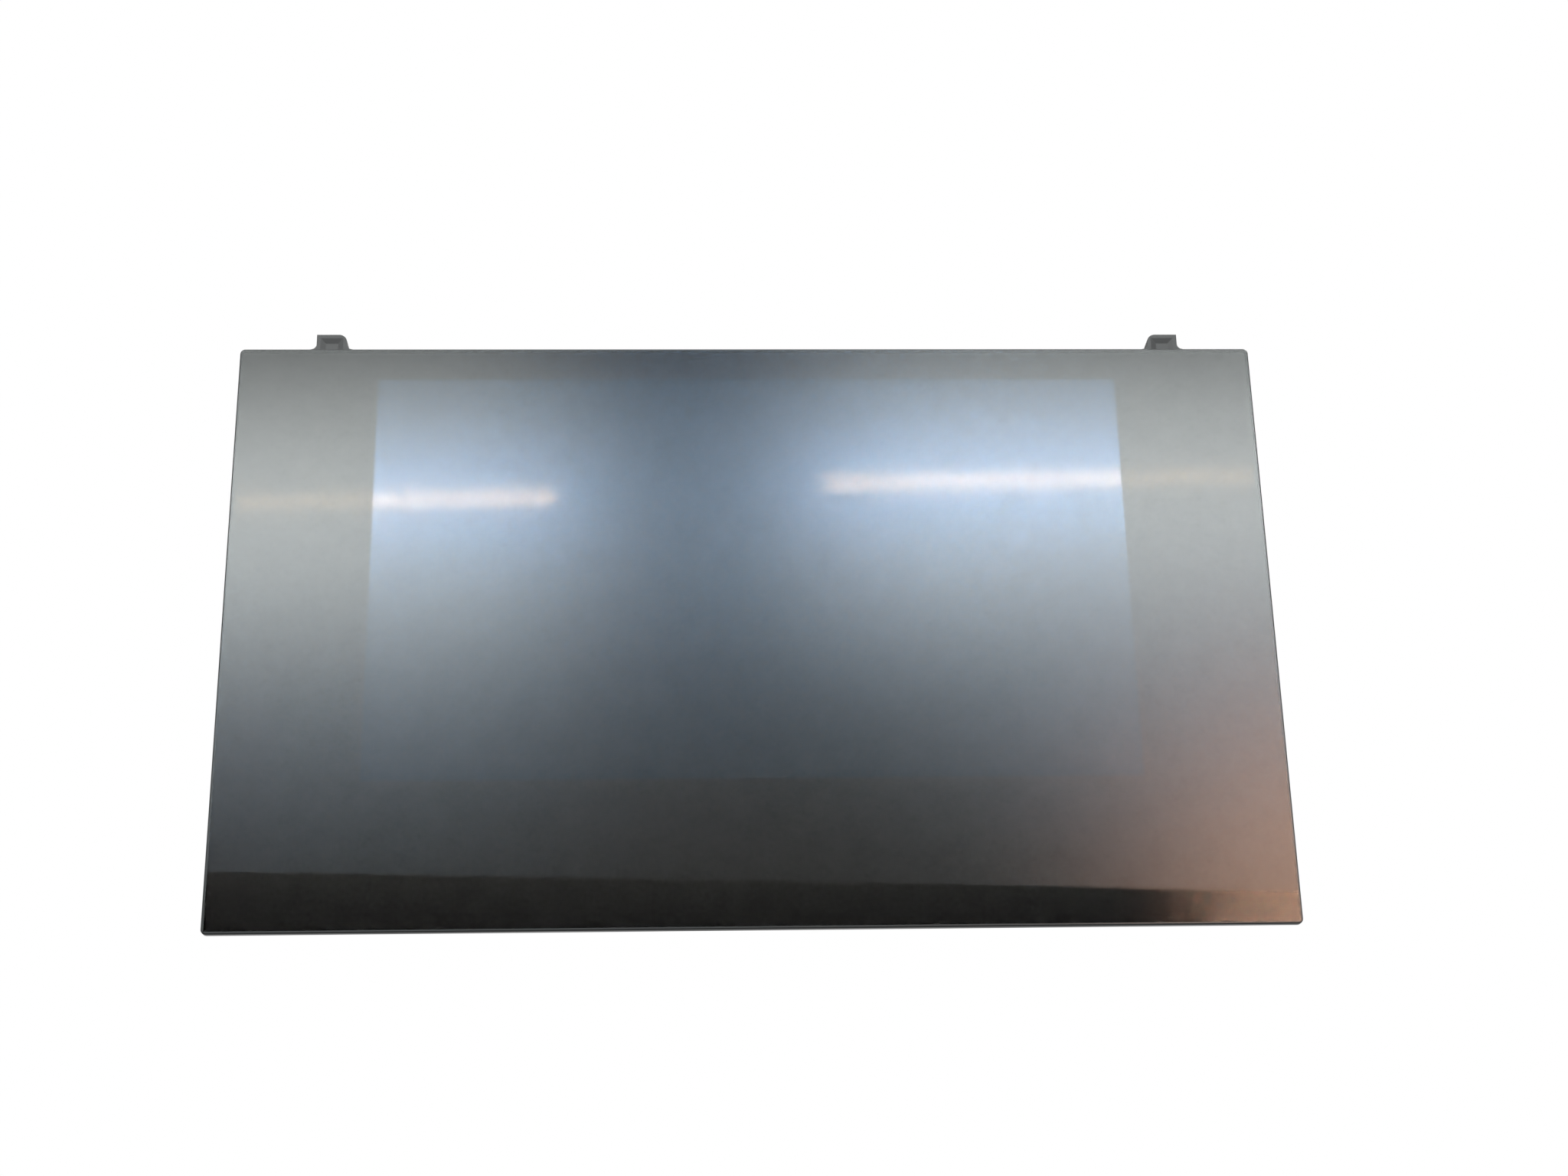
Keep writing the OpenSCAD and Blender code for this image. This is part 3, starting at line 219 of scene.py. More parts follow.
lit_by_tubes = bpy.data.collections.new("lit by the tubes")
lit_by_panels = bpy.data.collections.new("lit by the panels")
seen_in_coating = bpy.data.collections.new("tubes seen in the coating")
seen_in_ink = bpy.data.collections.new("tubes seen in the ink")
for name, ends in tubes.items():
    left, right = (Vector((x, lamp_wall_y, z)) for x, z in ends)
    middle = (left + right) / 2
    span = right - left
    lamp = hang_lamp(name, middle, span.normalized(), middle - glass_face, span.length, tube_height,
                     tube_colour, tube_brightness)
    lamp.light_linking.receiver_collection = lit_by_tubes
    left, right = left + coating_lift, right + coating_lift
    hang_glowing_tube(name + " in the coating", left, right, coating_glow, coating_line, seen_in_coating)
    hang_glowing_tube(name + " in the ink", left, right, ink_glow, ink_line, seen_in_ink)
for name, (low, high, colour, brightness) in wall_panels.items():
    middle = Vector(((low[0] + high[0]) / 2, lamp_wall_y, (low[1] + high[1]) / 2))
    lamp = hang_lamp(name, middle, Vector((1, 0, 0)), Vector((0, -1, 0)), high[0] - low[0], high[1] - low[1],
                     colour, brightness)
    lamp.light_linking.receiver_collection = lit_by_panels
for name, (place, size, power) in soft_lamps.items():
    place = Vector(place)
    across = place.cross(Vector((0, 0, 1))).normalized()
    hang_lamp(name, place, across, place, size, size, (1, 1, 1), power / (math.pi * size * size))

# Cover glass
# One flat sheet of strengthened glass, its front etched to a fine anti-glare grain that spreads every
# mirrored lamp into a wide haze, its edges ground, chamfered and inked black. It is bonded to the panel.
etched_roughness = 0.2
polished_roughness = 0.115
polished_share = 0.7
glass_ior = 1.24
strip_left_z = -0.0655
strip_right_z = -0.0722
strip_blur = 0.0016
rim_reach = 0.0006
rim_colour = (0.012, 0.013, 0.013, 1)


def new_finish(name):
    """A new node material for one finish: the material, its node tree and its surface shader."""
    material = bpy.data.materials.new(name)
    material.use_nodes = True
    tree = material.node_tree
    return material, tree, tree.nodes["Principled BSDF"]


def dress(material, *names):
    """Gives the named pieces that material."""
    for name in names:
        mesh = pieces[name].data
        mesh.materials.clear()
        mesh.materials.append(material)


def place_on_piece(tree):
    """The three axes of a point on the piece, in metres."""
    place = tree.nodes.new("ShaderNodeTexCoord")
    axes = tree.nodes.new("ShaderNodeSeparateXYZ")
    tree.links.new(place.outputs["Object"], axes.inputs[0])
    return axes.outputs


def over_strip(tree, above_strip, polished, etched):
    """A value that steps softly from the polished strip at the bottom to the etched face above it."""
    step = tree.nodes.new("ShaderNodeMapRange")
    step.interpolation_type = "SMOOTHSTEP"
    step.inputs["From Min"].default_value = -strip_blur / 2
    step.inputs["From Max"].default_value = strip_blur / 2
    step.inputs["To Min"].default_value = polished
    step.inputs["To Max"].default_value = etched
    tree.links.new(above_strip, step.inputs["Value"])
    return step.outputs[0]


glass, tree, rim_ink = new_finish("etched cover glass")
axes = place_on_piece(tree)
off_x = reckon(tree, "ABSOLUTE", reckon(tree, "SUBTRACT", axes["X"], glass_face.x))
off_z = reckon(tree, "ABSOLUTE", reckon(tree, "SUBTRACT", axes["Z"], glass_face.z))
to_side = reckon(tree, "SUBTRACT", (glass_high.x - glass_low.x) / 2, off_x)
to_top = reckon(tree, "SUBTRACT", (glass_high.z - glass_low.z) / 2, off_z)
on_rim = reckon(tree, "LESS_THAN", reckon(tree, "MINIMUM", to_side, to_top), rim_reach)
on_front = reckon(tree, "LESS_THAN", axes["Y"], (glass_low.y + glass_high.y) / 2)
strip_line = tree.nodes.new("ShaderNodeMapRange")
strip_line.inputs["From Min"].default_value = glass_low.x
strip_line.inputs["From Max"].default_value = glass_high.x
strip_line.inputs["To Min"].default_value = strip_left_z
strip_line.inputs["To Max"].default_value = strip_right_z
tree.links.new(axes["X"], strip_line.inputs["Value"])
above_strip = reckon(tree, "SUBTRACT", axes["Z"], strip_line.outputs[0])
clear = tree.nodes.new("ShaderNodeBsdfTransparent")
haze = tree.nodes.new("ShaderNodeBsdfAnisotropic")
haze.inputs["Color"].default_value = (1, 1, 1, 1)
haze.distribution = "BECKMANN"
haze_roughness = over_strip(tree, above_strip, polished_roughness, etched_roughness)
tree.links.new(haze_roughness, haze.inputs["Roughness"])
mirror = tree.nodes.new("ShaderNodeFresnel")
mirror.inputs["IOR"].default_value = glass_ior
mirrored = reckon(tree, "MULTIPLY", mirror.outputs[0], over_strip(tree, above_strip, polished_share, 1))
face = tree.nodes.new("ShaderNodeMixShader")
tree.links.new(reckon(tree, "MULTIPLY", mirrored, on_front), face.inputs[0])
tree.links.new(clear.outputs[0], face.inputs[1])
tree.links.new(haze.outputs[0], face.inputs[2])
rim_ink.inputs["Base Color"].default_value = rim_colour
rim_ink.inputs["Roughness"].default_value = etched_roughness
rim_ink.inputs["IOR"].default_value = glass_ior
whole = tree.nodes.new("ShaderNodeMixShader")
tree.links.new(on_rim, whole.inputs[0])
tree.links.new(face.outputs[0], whole.inputs[1])
tree.links.new(rim_ink.outputs[0], whole.inputs[2])
tree.links.new(whole.outputs[0], tree.nodes["Material Output"].inputs["Surface"])
dress(glass, "cover_glass")
lit_by_tubes.objects.link(pieces["cover_glass"])
lit_by_panels.objects.link(pieces["cover_glass"])

# Black print
# Two coats of black ink, screen printed on the back of the glass, that hide all but the active area. The
# ink lies on smooth glass, so a bright lamp also shows in it as a thin, faint line.
smooth_roughness = 0.046
ink_colour = (0.0012, 0.0012, 0.0012, 1)
ink_shine = 0.0075

ink, tree, surface = new_finish("black print")
surface.inputs["Base Color"].default_value = ink_colour
surface.inputs["Roughness"].default_value = smooth_roughness
surface.inputs["Specular IOR Level"].default_value = ink_shine
dress(ink, "border_print")
seen_in_ink.objects.link(pieces["border_print"])

# Adhesive and touch sensor
# Clear liquid adhesive and a clear film with a fine conductive grid. Behind it the panel is switched
# off, so it looks nearly black, and its coatings mirror a lamp as a narrow bluish glow with a sharp core.
adhesive_tint = (0.99, 0.99, 0.99, 1)
dark_panel = (0.0007, 0.0055, 0.0085, 1)
coating_shine = 0.074

adhesive, tree, surface = new_finish("clear adhesive")
clear = tree.nodes.new("ShaderNodeBsdfTransparent")
clear.inputs["Color"].default_value = adhesive_tint
tree.links.new(clear.outputs[0], tree.nodes["Material Output"].inputs["Surface"])
tree.nodes.remove(surface)
dress(adhesive, "sensor_adhesive", "panel_adhesive")

sensor, tree, surface = new_finish("sensor over the dark panel")
surface.inputs["Base Color"].default_value = dark_panel
surface.inputs["Roughness"].default_value = smooth_roughness
surface.inputs["Specular IOR Level"].default_value = coating_shine
dress(sensor, "touch_sensor")
seen_in_coating.objects.link(pieces["touch_sensor"])

# Glass tape
# A ring of black foam tape with soft acrylic faces, die cut, that sticks the glass to the carrier frame
# and evens out its small warps.


def on_scale(tree, kind, size, stretch):
    """A pattern node of that kind, in which one unit measures that size, drawn out along an axis."""
    place = tree.nodes.new("ShaderNodeTexCoord")
    scale = tree.nodes.new("ShaderNodeMapping")
    scale.inputs["Scale"].default_value = [1 / (size * length) for length in stretch]
    node = tree.nodes.new(kind)
    node.inputs["Scale"].default_value = 1
    tree.links.new(place.outputs["Object"], scale.inputs["Vector"])
    tree.links.new(scale.outputs[0], node.inputs["Vector"])
    return node


def patches(tree, size, detail=3, stretch=(1, 1, 1)):
    """A cloudy pattern, mostly from 0.3 to 0.7, with patches of about that size."""
    cloud = on_scale(tree, "ShaderNodeTexNoise", size, stretch)
    cloud.inputs["Detail"].default_value = detail
    return cloud.outputs[0]


def cells(tree, size, output="Distance"):
    """Round cells of about that size: the distance to each one's middle, or a colour for each."""
    return on_scale(tree, "ShaderNodeTexVoronoi", size, (1, 1, 1)).outputs[output]


def spread(tree, value, low, high, start=0.3, end=0.7):
    """Carries a pattern from its own range, start to end, to the one from low to high."""
    node = tree.nodes.new("ShaderNodeMapRange")
    node.inputs["From Min"].default_value = start
    node.inputs["From Max"].default_value = end
    node.inputs["To Min"].default_value = low
    node.inputs["To Max"].default_value = high
    tree.links.new(value, node.inputs["Value"])
    return node.outputs[0]


def blend(tree, amount, first, second):
    """Two colours, each written out or a socket, mixed by a pattern."""
    mix = tree.nodes.new("ShaderNodeMix")
    mix.data_type = "RGBA"
    tree.links.new(amount, mix.inputs[0])
    for socket, colour in ((mix.inputs[6], first), (mix.inputs[7], second)):
        if isinstance(colour, tuple):
            socket.default_value = (*colour, 1)
        else:
            tree.links.new(colour, socket)
    return mix.outputs[2]


def two_tone(tree, dark, light, patch, detail=3):
    """A colour that drifts between two shades in patches of about that size."""
    return blend(tree, spread(tree, patches(tree, patch, detail), 0, 1), dark, light)


def rounded_edges(tree, radius):
    """The direction that the surface faces, turned softly at sharp edges as if they had that radius."""
    bevel = tree.nodes.new("ShaderNodeBevel")
    bevel.samples = 4
    bevel.inputs["Radius"].default_value = radius
    return bevel.outputs[0]


def raise_grain(tree, surface, height, depth, edge_radius=0):
    """Bumps the surface by a pattern, to that depth in metres, and rounds its sharp edges a little."""
    bump = tree.nodes.new("ShaderNodeBump")
    bump.inputs["Distance"].default_value = depth
    tree.links.new(height, bump.inputs["Height"])
    if edge_radius:
        tree.links.new(rounded_edges(tree, edge_radius), bump.inputs["Normal"])
    tree.links.new(bump.outputs[0], surface.inputs["Normal"])


def patchy_finish(name, dark, light, patch, smooth, rough, grain, depth, metallic=0, stretch=(1, 1, 1),
                  pore=0, more=()):
    """A finish whose colour drifts between two shades in patches, with a finer grain in gloss and height.
    A foam's height follows its round pores instead. More holds further values of the surface shader."""
    material, tree, surface = new_finish(name)
    tree.links.new(two_tone(tree, dark, light, patch, detail=4), surface.inputs["Base Color"])
    fine = patches(tree, grain, detail=2, stretch=stretch)
    tree.links.new(spread(tree, fine, smooth, rough), surface.inputs["Roughness"])
    surface.inputs["Metallic"].default_value = metallic
    for socket, value in more:
        surface.inputs[socket].default_value = value
    raise_grain(tree, surface, cells(tree, pore) if pore else fine, depth)
    return material


tape = patchy_finish("black foam tape", dark=(0.011, 0.011, 0.011), light=(0.019, 0.019, 0.018), patch=0.01,
                     smooth=0.7, rough=0.85, grain=0.0003, depth=0.0001, pore=0.00035)
dress(tape, "glass_tape")

# Carrier frame
# One black moulding in glass-filled plastic that holds the panel, the glass and the rear housing, with
# the two hooks on its top edge. The mould leaves a fine even grain on it, and handling rubs its edges.
carrier_dark = (0.018, 0.018, 0.019)
carrier_light = (0.025, 0.025, 0.026)
carrier_rubbed = (0.06, 0.06, 0.061)
carrier_flow = 0.03
carrier_flow_stretch = (1, 1, 0.35)
carrier_grain = 0.00022
carrier_grain_depth = 0.00003
carrier_edge = 0.00025


def worn_edges(tree, radius, patch, least, most):
    """How far a finish is worn: nothing on its faces, and from the least to the most along its sharp edges,
    in patches of about that size."""
    shape = tree.nodes.new("ShaderNodeNewGeometry")
    alike = tree.nodes.new("ShaderNodeVectorMath")
    alike.operation = "DOT_PRODUCT"
    tree.links.new(rounded_edges(tree, radius), alike.inputs[0])
    tree.links.new(shape.outputs["Normal"], alike.inputs[1])
    at_edge = spread(tree, alike.outputs["Value"], low=1, high=0, start=0.8, end=0.98)
    return reckon(tree, "MULTIPLY", at_edge, spread(tree, patches(tree, patch), least, most))


moulding, tree, surface = new_finish("black moulded plastic")
flow = patches(tree, carrier_flow, detail=4, stretch=carrier_flow_stretch)
rubbed = worn_edges(tree, carrier_edge * 2, patch=0.004, least=0.1, most=0.8)
body = blend(tree, spread(tree, flow, 0, 1), carrier_dark, carrier_light)
tree.links.new(blend(tree, rubbed, body, carrier_rubbed), surface.inputs["Base Color"])
tree.links.new(spread(tree, flow, low=0.56, high=0.68), surface.inputs["Roughness"])
fine = patches(tree, carrier_grain, detail=2)
raise_grain(tree, surface, fine, carrier_grain_depth, carrier_edge)
dress(moulding, "carrier_frame")
lit_by_tubes.objects.link(pieces["carrier_frame"])

# Liquid crystal cell
# Two thin glasses with the liquid crystal sealed between them, one with the stripes of the colour
# filter and one with the switches and their leads, and a stretched polarizer film on each face.
pixel_pitch = 0.000138
mask_share = 0.16
switch_share = 0.25
lead_pitch = 0.00032
lead_share = 0.45
cell_ior = 1.5
red_dye = (0.035, 0.014, 0.012)
green_dye = (0.014, 0.03, 0.016)
blue_dye = (0.012, 0.017, 0.04)
black_mask = (0.006, 0.006, 0.006)
switch_glass = (0.028, 0.032, 0.036)
switch_metal = (0.05, 0.054, 0.055)
ledge_glass = (0.045, 0.05, 0.055)
lead_metal = (0.15, 0.145, 0.13)


def stripes(tree, pitch, axis="X", share=0.5):
    """Even stripes along an axis: 1 over that share of each pitch, 0 over the rest."""
    along = reckon(tree, "DIVIDE", place_on_piece(tree)[axis], pitch)
    within = reckon(tree, "SUBTRACT", along, reckon(tree, "FLOOR", along))
    return reckon(tree, "LESS_THAN", within, share)


def vary_gloss(tree, surface, patch, smooth, rough, detail=3):
    """Lets the surface drift between smooth and rough in patches of about that size."""
    tree.links.new(spread(tree, patches(tree, patch, detail), smooth, rough), surface.inputs["Roughness"])


polarizer = patchy_finish("polarizer film", dark=(0.008, 0.009, 0.014), light=(0.011, 0.012, 0.018),
                          patch=0.02, smooth=0.24, rough=0.3, grain=0.0004, depth=0.000001,
                          stretch=(6, 1, 1), more=(("Coat Weight", 0.3), ("Coat Roughness", 0.2)))
dress(polarizer, "front_polarizer", "rear_polarizer")

filter_glass, tree, surface = new_finish("colour filter glass")
red_or_green = blend(tree, stripes(tree, pixel_pitch, share=1 / 3), green_dye, red_dye)
dyes = blend(tree, stripes(tree, pixel_pitch, share=2 / 3), blue_dye, red_or_green)
masked = blend(tree, stripes(tree, pixel_pitch, "Z", mask_share), dyes, black_mask)
tree.links.new(masked, surface.inputs["Base Color"])
vary_gloss(tree, surface, patch=0.03, smooth=0.03, rough=0.07)
surface.inputs["IOR"].default_value = cell_ior
dress(filter_glass, "filter_glass")

array_glass, tree, surface = new_finish("switch array glass")
ledge_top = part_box("filter_glass")[0].z
on_ledge = reckon(tree, "LESS_THAN", place_on_piece(tree)["Z"], ledge_top)
leads = blend(tree, stripes(tree, lead_pitch, share=lead_share), ledge_glass, lead_metal)
switches = blend(tree, stripes(tree, pixel_pitch, share=switch_share), switch_glass, switch_metal)
tree.links.new(blend(tree, on_ledge, switches, leads), surface.inputs["Base Color"])
vary_gloss(tree, surface, patch=0.03, smooth=0.04, rough=0.09)
surface.inputs["IOR"].default_value = cell_ior
dress(array_glass, "array_glass")

# Driver chips
# Two bare slivers of polished silicon that switch the columns of the display. They are bonded face down
# on the ledge of the array glass.
silicon = patchy_finish("polished silicon", dark=(0.13, 0.13, 0.145), light=(0.17, 0.17, 0.18), patch=0.0012,
                        smooth=0.1, rough=0.2, grain=0.0001, depth=0.000001, metallic=0.6)
dress(silicon, "driver_chips")

# Panel frame and bezel
# A white plastic frame carries the cell and the films. A folded bezel of thin rolled steel is clipped
# over it, and its face shows the fine lines of the rolling mill.
rolled = patchy_finish("rolled steel sheet", dark=(0.42, 0.43, 0.44), light=(0.56, 0.57, 0.58), patch=0.018,
                       smooth=0.24, rough=0.38, grain=0.0004, depth=0.000004, metallic=1,
                       stretch=(40, 1, 1), more=(("Anisotropic", 0.4),))
dress(rolled, "panel_bezel")
white_frame = patchy_finish("white moulded plastic", dark=(0.72, 0.72, 0.7), light=(0.8, 0.8, 0.785),
                            patch=0.02, smooth=0.38, rough=0.5, grain=0.0003, depth=0.00001,
                            more=(("Subsurface Weight", 0.1), ("Subsurface Radius", (0.001, 0.0008, 0.0006))))
dress(white_frame, "panel_frame")

# Backlight
# Lamps along the lower edge shine into a clear acrylic light guide, whose printed dots let the light out
# evenly. Films with fine prisms and a frosted diffuser lie on it, a white reflector lies behind it, and
# a tray of rolled aluminium closes the stack.
prism_pitch = 0.00005
prism_depth = prism_pitch / 4
prism_dark = (0.68, 0.72, 0.76)
prism_light = (0.76, 0.8, 0.83)
prism_ior = 1.55
prism_clearness = 0.3
dot_pitch = 0.0011
dot_white = (0.9, 0.9, 0.9)
guide_tint = (0.72, 0.82, 0.84)
guide_ior = 1.49
guide_clearness = 0.6
lamp_row = 0.1771
lamp_count = 24
pad_share = 0.12
pad_copper = (0.7, 0.52, 0.22)
lamp_board = (0.74, 0.73, 0.68)


def ribbed_film(name, axis):
    """A clear film whose face is cut into fine parallel prisms, one after another along that axis."""
    material, tree, surface = new_finish(name)
    surface.inputs["IOR"].default_value = prism_ior
    surface.inputs["Transmission Weight"].default_value = prism_clearness
    tree.links.new(two_tone(tree, prism_dark, prism_light, patch=0.03), surface.inputs["Base Color"])
    vary_gloss(tree, surface, patch=0.01, smooth=0.18, rough=0.26)
    raise_grain(tree, surface, stripes(tree, prism_pitch, axis), prism_depth)
    return material


dress(ribbed_film("prism film across", "Z"), "upper_prism_film")
dress(ribbed_film("prism film upright", "X"), "lower_prism_film")
frosted = patchy_finish("frosted diffuser film", dark=(0.84, 0.84, 0.84), light=(0.89, 0.89, 0.89),
                        patch=0.03, smooth=0.6, rough=0.75, grain=0.00012, depth=0.00002)
dress(frosted, "diffuser_film")
acrylic, tree, surface = new_finish("dotted acrylic")
dots = spread(tree, cells(tree, dot_pitch), low=1, high=0, start=0.22, end=0.3)
tree.links.new(blend(tree, dots, guide_tint, dot_white), surface.inputs["Base Color"])
tree.links.new(spread(tree, dots, low=0.04, high=0.6, start=0, end=1), surface.inputs["Roughness"])
surface.inputs["Transmission Weight"].default_value = guide_clearness
surface.inputs["IOR"].default_value = guide_ior
dress(acrylic, "light_guide")
reflector = patchy_finish("white reflector film", dark=(0.84, 0.84, 0.835), light=(0.9, 0.9, 0.9),
                          patch=0.04, smooth=0.2, rough=0.3, grain=0.0005, depth=0.000004)
dress(reflector, "reflector_film")
strip, tree, surface = new_finish("white lamp board")
pads = stripes(tree, lamp_row / lamp_count, share=pad_share)
tree.links.new(blend(tree, pads, lamp_board, pad_copper), surface.inputs["Base Color"])
vary_gloss(tree, surface, patch=0.002, smooth=0.35, rough=0.5)
tree.links.new(pads, surface.inputs["Metallic"])
dress(strip, "lamp_strip")
phosphor = patchy_finish("phosphor resin", dark=(0.78, 0.66, 0.22), light=(0.86, 0.76, 0.34), patch=0.0008,
                         smooth=0.35, rough=0.6, grain=0.0001, depth=0.00001)
dress(phosphor, "backlight_lamps")
tray = patchy_finish("rolled aluminium sheet", dark=(0.58, 0.59, 0.6), light=(0.7, 0.71, 0.72), patch=0.025,
                     smooth=0.28, rough=0.42, grain=0.0005, depth=0.000005, metallic=1, stretch=(1, 1, 40))
dress(tray, "backlight_tray")

# Panel cushions
# Strips of black open-cell foam, cut from sheet, between the backlight's tray and the chassis plate.
# They press the panel forward against the glass and damp its rattle.
foam = patchy_finish("open-cell foam", dark=(0.03, 0.03, 0.03), light=(0.06, 0.06, 0.058), patch=0.004,
                     smooth=0.85, rough=0.95, grain=0.0006, depth=0.0003, pore=0.0006)
dress(foam, "panel_cushions")

# Flexible circuits
# Thin amber polyimide film with etched copper leads inside it, which show as paler stripes. Each runs
# down from the panel, back under it and up into its socket on the main board.
copper_pitch = 0.001
copper_share = 0.55
copper_height = 0.00002
amber_dark = (0.4, 0.17, 0.03)
amber_light = (0.5, 0.23, 0.045)
amber_over_copper = (0.62, 0.33, 0.12)
film_coat = 0.4
film_coat_roughness = 0.15

amber, tree, surface = new_finish("amber film with leads")
leads = stripes(tree, copper_pitch, share=copper_share)
film = two_tone(tree, amber_dark, amber_light, patch=0.008)
tree.links.new(blend(tree, leads, film, amber_over_copper), surface.inputs["Base Color"])
vary_gloss(tree, surface, patch=0.004, smooth=0.22, rough=0.36)
raise_grain(tree, surface, leads, copper_height)
surface.inputs["Coat Weight"].default_value = film_coat
surface.inputs["Coat Roughness"].default_value = film_coat_roughness
dress(amber, "panel_flex", "touch_flex", "backlight_flex")

# Chassis plate and standoffs
# A stamped plate of zinc plated steel closes the carrier frame and carries the main board on turned
# steel standoffs. Its plating shows faint crystals, a bluish bloom and dull fingermarks.
plate_blue = (0.5, 0.51, 0.52)
plate_grey = (0.6, 0.6, 0.58)
plate_crystal = (0.68, 0.68, 0.67)
crystal_size = 0.004
crystal_share = 0.35
plate_grain = 0.0004
plate_grain_stretch = (1, 1, 20)
plate_grain_depth = 0.000004

plated, tree, surface = new_finish("zinc plated sheet")
bloom = two_tone(tree, plate_blue, plate_grey, patch=0.03, detail=4)
crystals = spread(tree, cells(tree, crystal_size, output="Color"), low=0, high=crystal_share, start=0, end=1)
tree.links.new(blend(tree, crystals, bloom, plate_crystal), surface.inputs["Base Color"])
vary_gloss(tree, surface, patch=0.012, smooth=0.24, rough=0.42, detail=4)
surface.inputs["Metallic"].default_value = 1
raise_grain(tree, surface, patches(tree, plate_grain, stretch=plate_grain_stretch), plate_grain_depth)
dress(plated, "chassis_plate")
turned = patchy_finish("turned zinc plated steel", dark=(0.52, 0.52, 0.5), light=(0.66, 0.66, 0.63),
                       patch=0.003, smooth=0.22, rough=0.36, grain=0.0002, depth=0.00001, metallic=1,
                       stretch=(30, 1, 30))
dress(turned, "board_standoffs")

# Main board
# Glass fibre board under green solder mask, with etched copper tracks that stand up slightly beneath it
# and small tinned holes between them.
track_pitch = 0.0016
pitches_per_gap = 0.07
pitches_per_track = 3.7
pitches_per_row = 0.42
track_height = 0.00003
hole_spacing = 0.0035
mask_dark = (0.012, 0.09, 0.035)
mask_light = (0.018, 0.12, 0.045)
mask_over_tracks = (0.03, 0.19, 0.07)
tinned_hole = (0.6, 0.58, 0.5)

board, tree, surface = new_finish("green circuit board")
place = tree.nodes.new("ShaderNodeTexCoord")
flat = tree.nodes.new("ShaderNodeMapping")
flat.inputs["Rotation"].default_value = (math.pi / 2, 0, 0)
flat.inputs["Scale"].default_value = [1 / track_pitch] * 3
runs = tree.nodes.new("ShaderNodeTexBrick")
tree.links.new(place.outputs["Object"], flat.inputs["Vector"])
tree.links.new(flat.outputs[0], runs.inputs["Vector"])
runs.inputs["Scale"].default_value = 1
runs.inputs["Mortar Size"].default_value = pitches_per_gap
runs.inputs["Brick Width"].default_value = pitches_per_track
runs.inputs["Row Height"].default_value = pitches_per_row
mask = two_tone(tree, mask_dark, mask_light, patch=0.02)
tracked = blend(tree, runs.outputs["Fac"], mask_over_tracks, mask)
holes = spread(tree, cells(tree, hole_spacing), low=1, high=0, start=0.07, end=0.09)
tree.links.new(blend(tree, holes, tracked, tinned_hole), surface.inputs["Base Color"])
tree.links.new(holes, surface.inputs["Metallic"])
vary_gloss(tree, surface, patch=0.006, smooth=0.28, rough=0.4)
raise_grain(tree, surface, reckon(tree, "SUBTRACT", 1, runs.outputs["Fac"]), track_height)
dress(board, "main_board")

# Board screws
# Six small machine screws of zinc plated steel with a six-lobe drive, turned into the standoffs. Their
# plating is faintly yellow.
zinc = patchy_finish("zinc plated screw", dark=(0.5, 0.49, 0.44), light=(0.66, 0.65, 0.6), patch=0.0015,
                     smooth=0.22, rough=0.4, grain=0.0002, depth=0.00001, metallic=1)
dress(zinc, "board_screws")

# Chips
# Circuits moulded in black epoxy, soldered to the back of the board. Their faces have the matte grain of
# the mould, and the processor's lid carries a soft pad of filled silicone out to the housing.
epoxy = patchy_finish("moulded black epoxy", dark=(0.018, 0.018, 0.019), light=(0.028, 0.028, 0.029),
                      patch=0.004, smooth=0.5, rough=0.62, grain=0.00008, depth=0.00001)
dress(epoxy, "processor", "memory_chips", "flash_chip", "video_receiver", "touch_controller")
pad = patchy_finish("filled silicone pad", dark=(0.24, 0.3, 0.4), light=(0.31, 0.38, 0.48), patch=0.003,
                    smooth=0.75, rough=0.88, grain=0.0004, depth=0.00005, pore=0.0005)
dress(pad, "thermal_pad")

# Shield can and crystal
# Both are drawn from thin tin plated steel and soldered to the board. The can keeps the radio noise of
# the video link inside it, and the crystal keeps the processor's time.
tinned = patchy_finish("tin plated steel", dark=(0.54, 0.54, 0.52), light=(0.68, 0.68, 0.66), patch=0.006,
                       smooth=0.2, rough=0.38, grain=0.0003, depth=0.000004, metallic=1, stretch=(12, 1, 1))
dress(tinned, "shield_can", "crystal")

# Power parts
# Inductors pressed from grey iron powder, and capacitors in small aluminium cans whose tops carry a
# black field over the side of the negative lead.
base_height = 0.00101
top_reach = 0.0001
field_share = 0.7
can_dark = (0.55, 0.55, 0.57)
can_light = (0.68, 0.68, 0.7)
can_black = (0.02, 0.02, 0.022)

powder = patchy_finish("pressed iron powder", dark=(0.07, 0.07, 0.073), light=(0.12, 0.12, 0.122),
                       patch=0.0015, smooth=0.5, rough=0.75, grain=0.00012, depth=0.00002)
dress(powder, "power_inductors")
can_low, can_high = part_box("capacitors")
can_radius = (can_high.x - can_low.x) / 2
can, tree, surface = new_finish("aluminium can with its black field")
axes = place_on_piece(tree)
on_side = reckon(tree, "LESS_THAN", axes["X"], can_low.x + can_radius * field_share)
on_top = reckon(tree, "GREATER_THAN", axes["Y"], can_high.y - top_reach)
on_base = reckon(tree, "LESS_THAN", axes["Y"], can_low.y + base_height)
field = reckon(tree, "MAXIMUM", reckon(tree, "MULTIPLY", on_side, on_top), on_base)
metal = two_tone(tree, can_dark, can_light, patch=0.002)
tree.links.new(blend(tree, field, metal, can_black), surface.inputs["Base Color"])
tree.links.new(reckon(tree, "SUBTRACT", 1, field), surface.inputs["Metallic"])
vary_gloss(tree, surface, patch=0.0004, smooth=0.28, rough=0.42)
dress(can, "capacitors")

# Small parts
# Ceramic capacitors and thick film resistors in dull browns that differ from place to place. The solder
# wets their ends and holds them on the board.
shade_size = 0.004
ceramic_dark = (0.2, 0.14, 0.085)
ceramic_light = (0.36, 0.28, 0.19)
ceramic_grain = 0.0002
ceramic_grain_depth = 0.00001

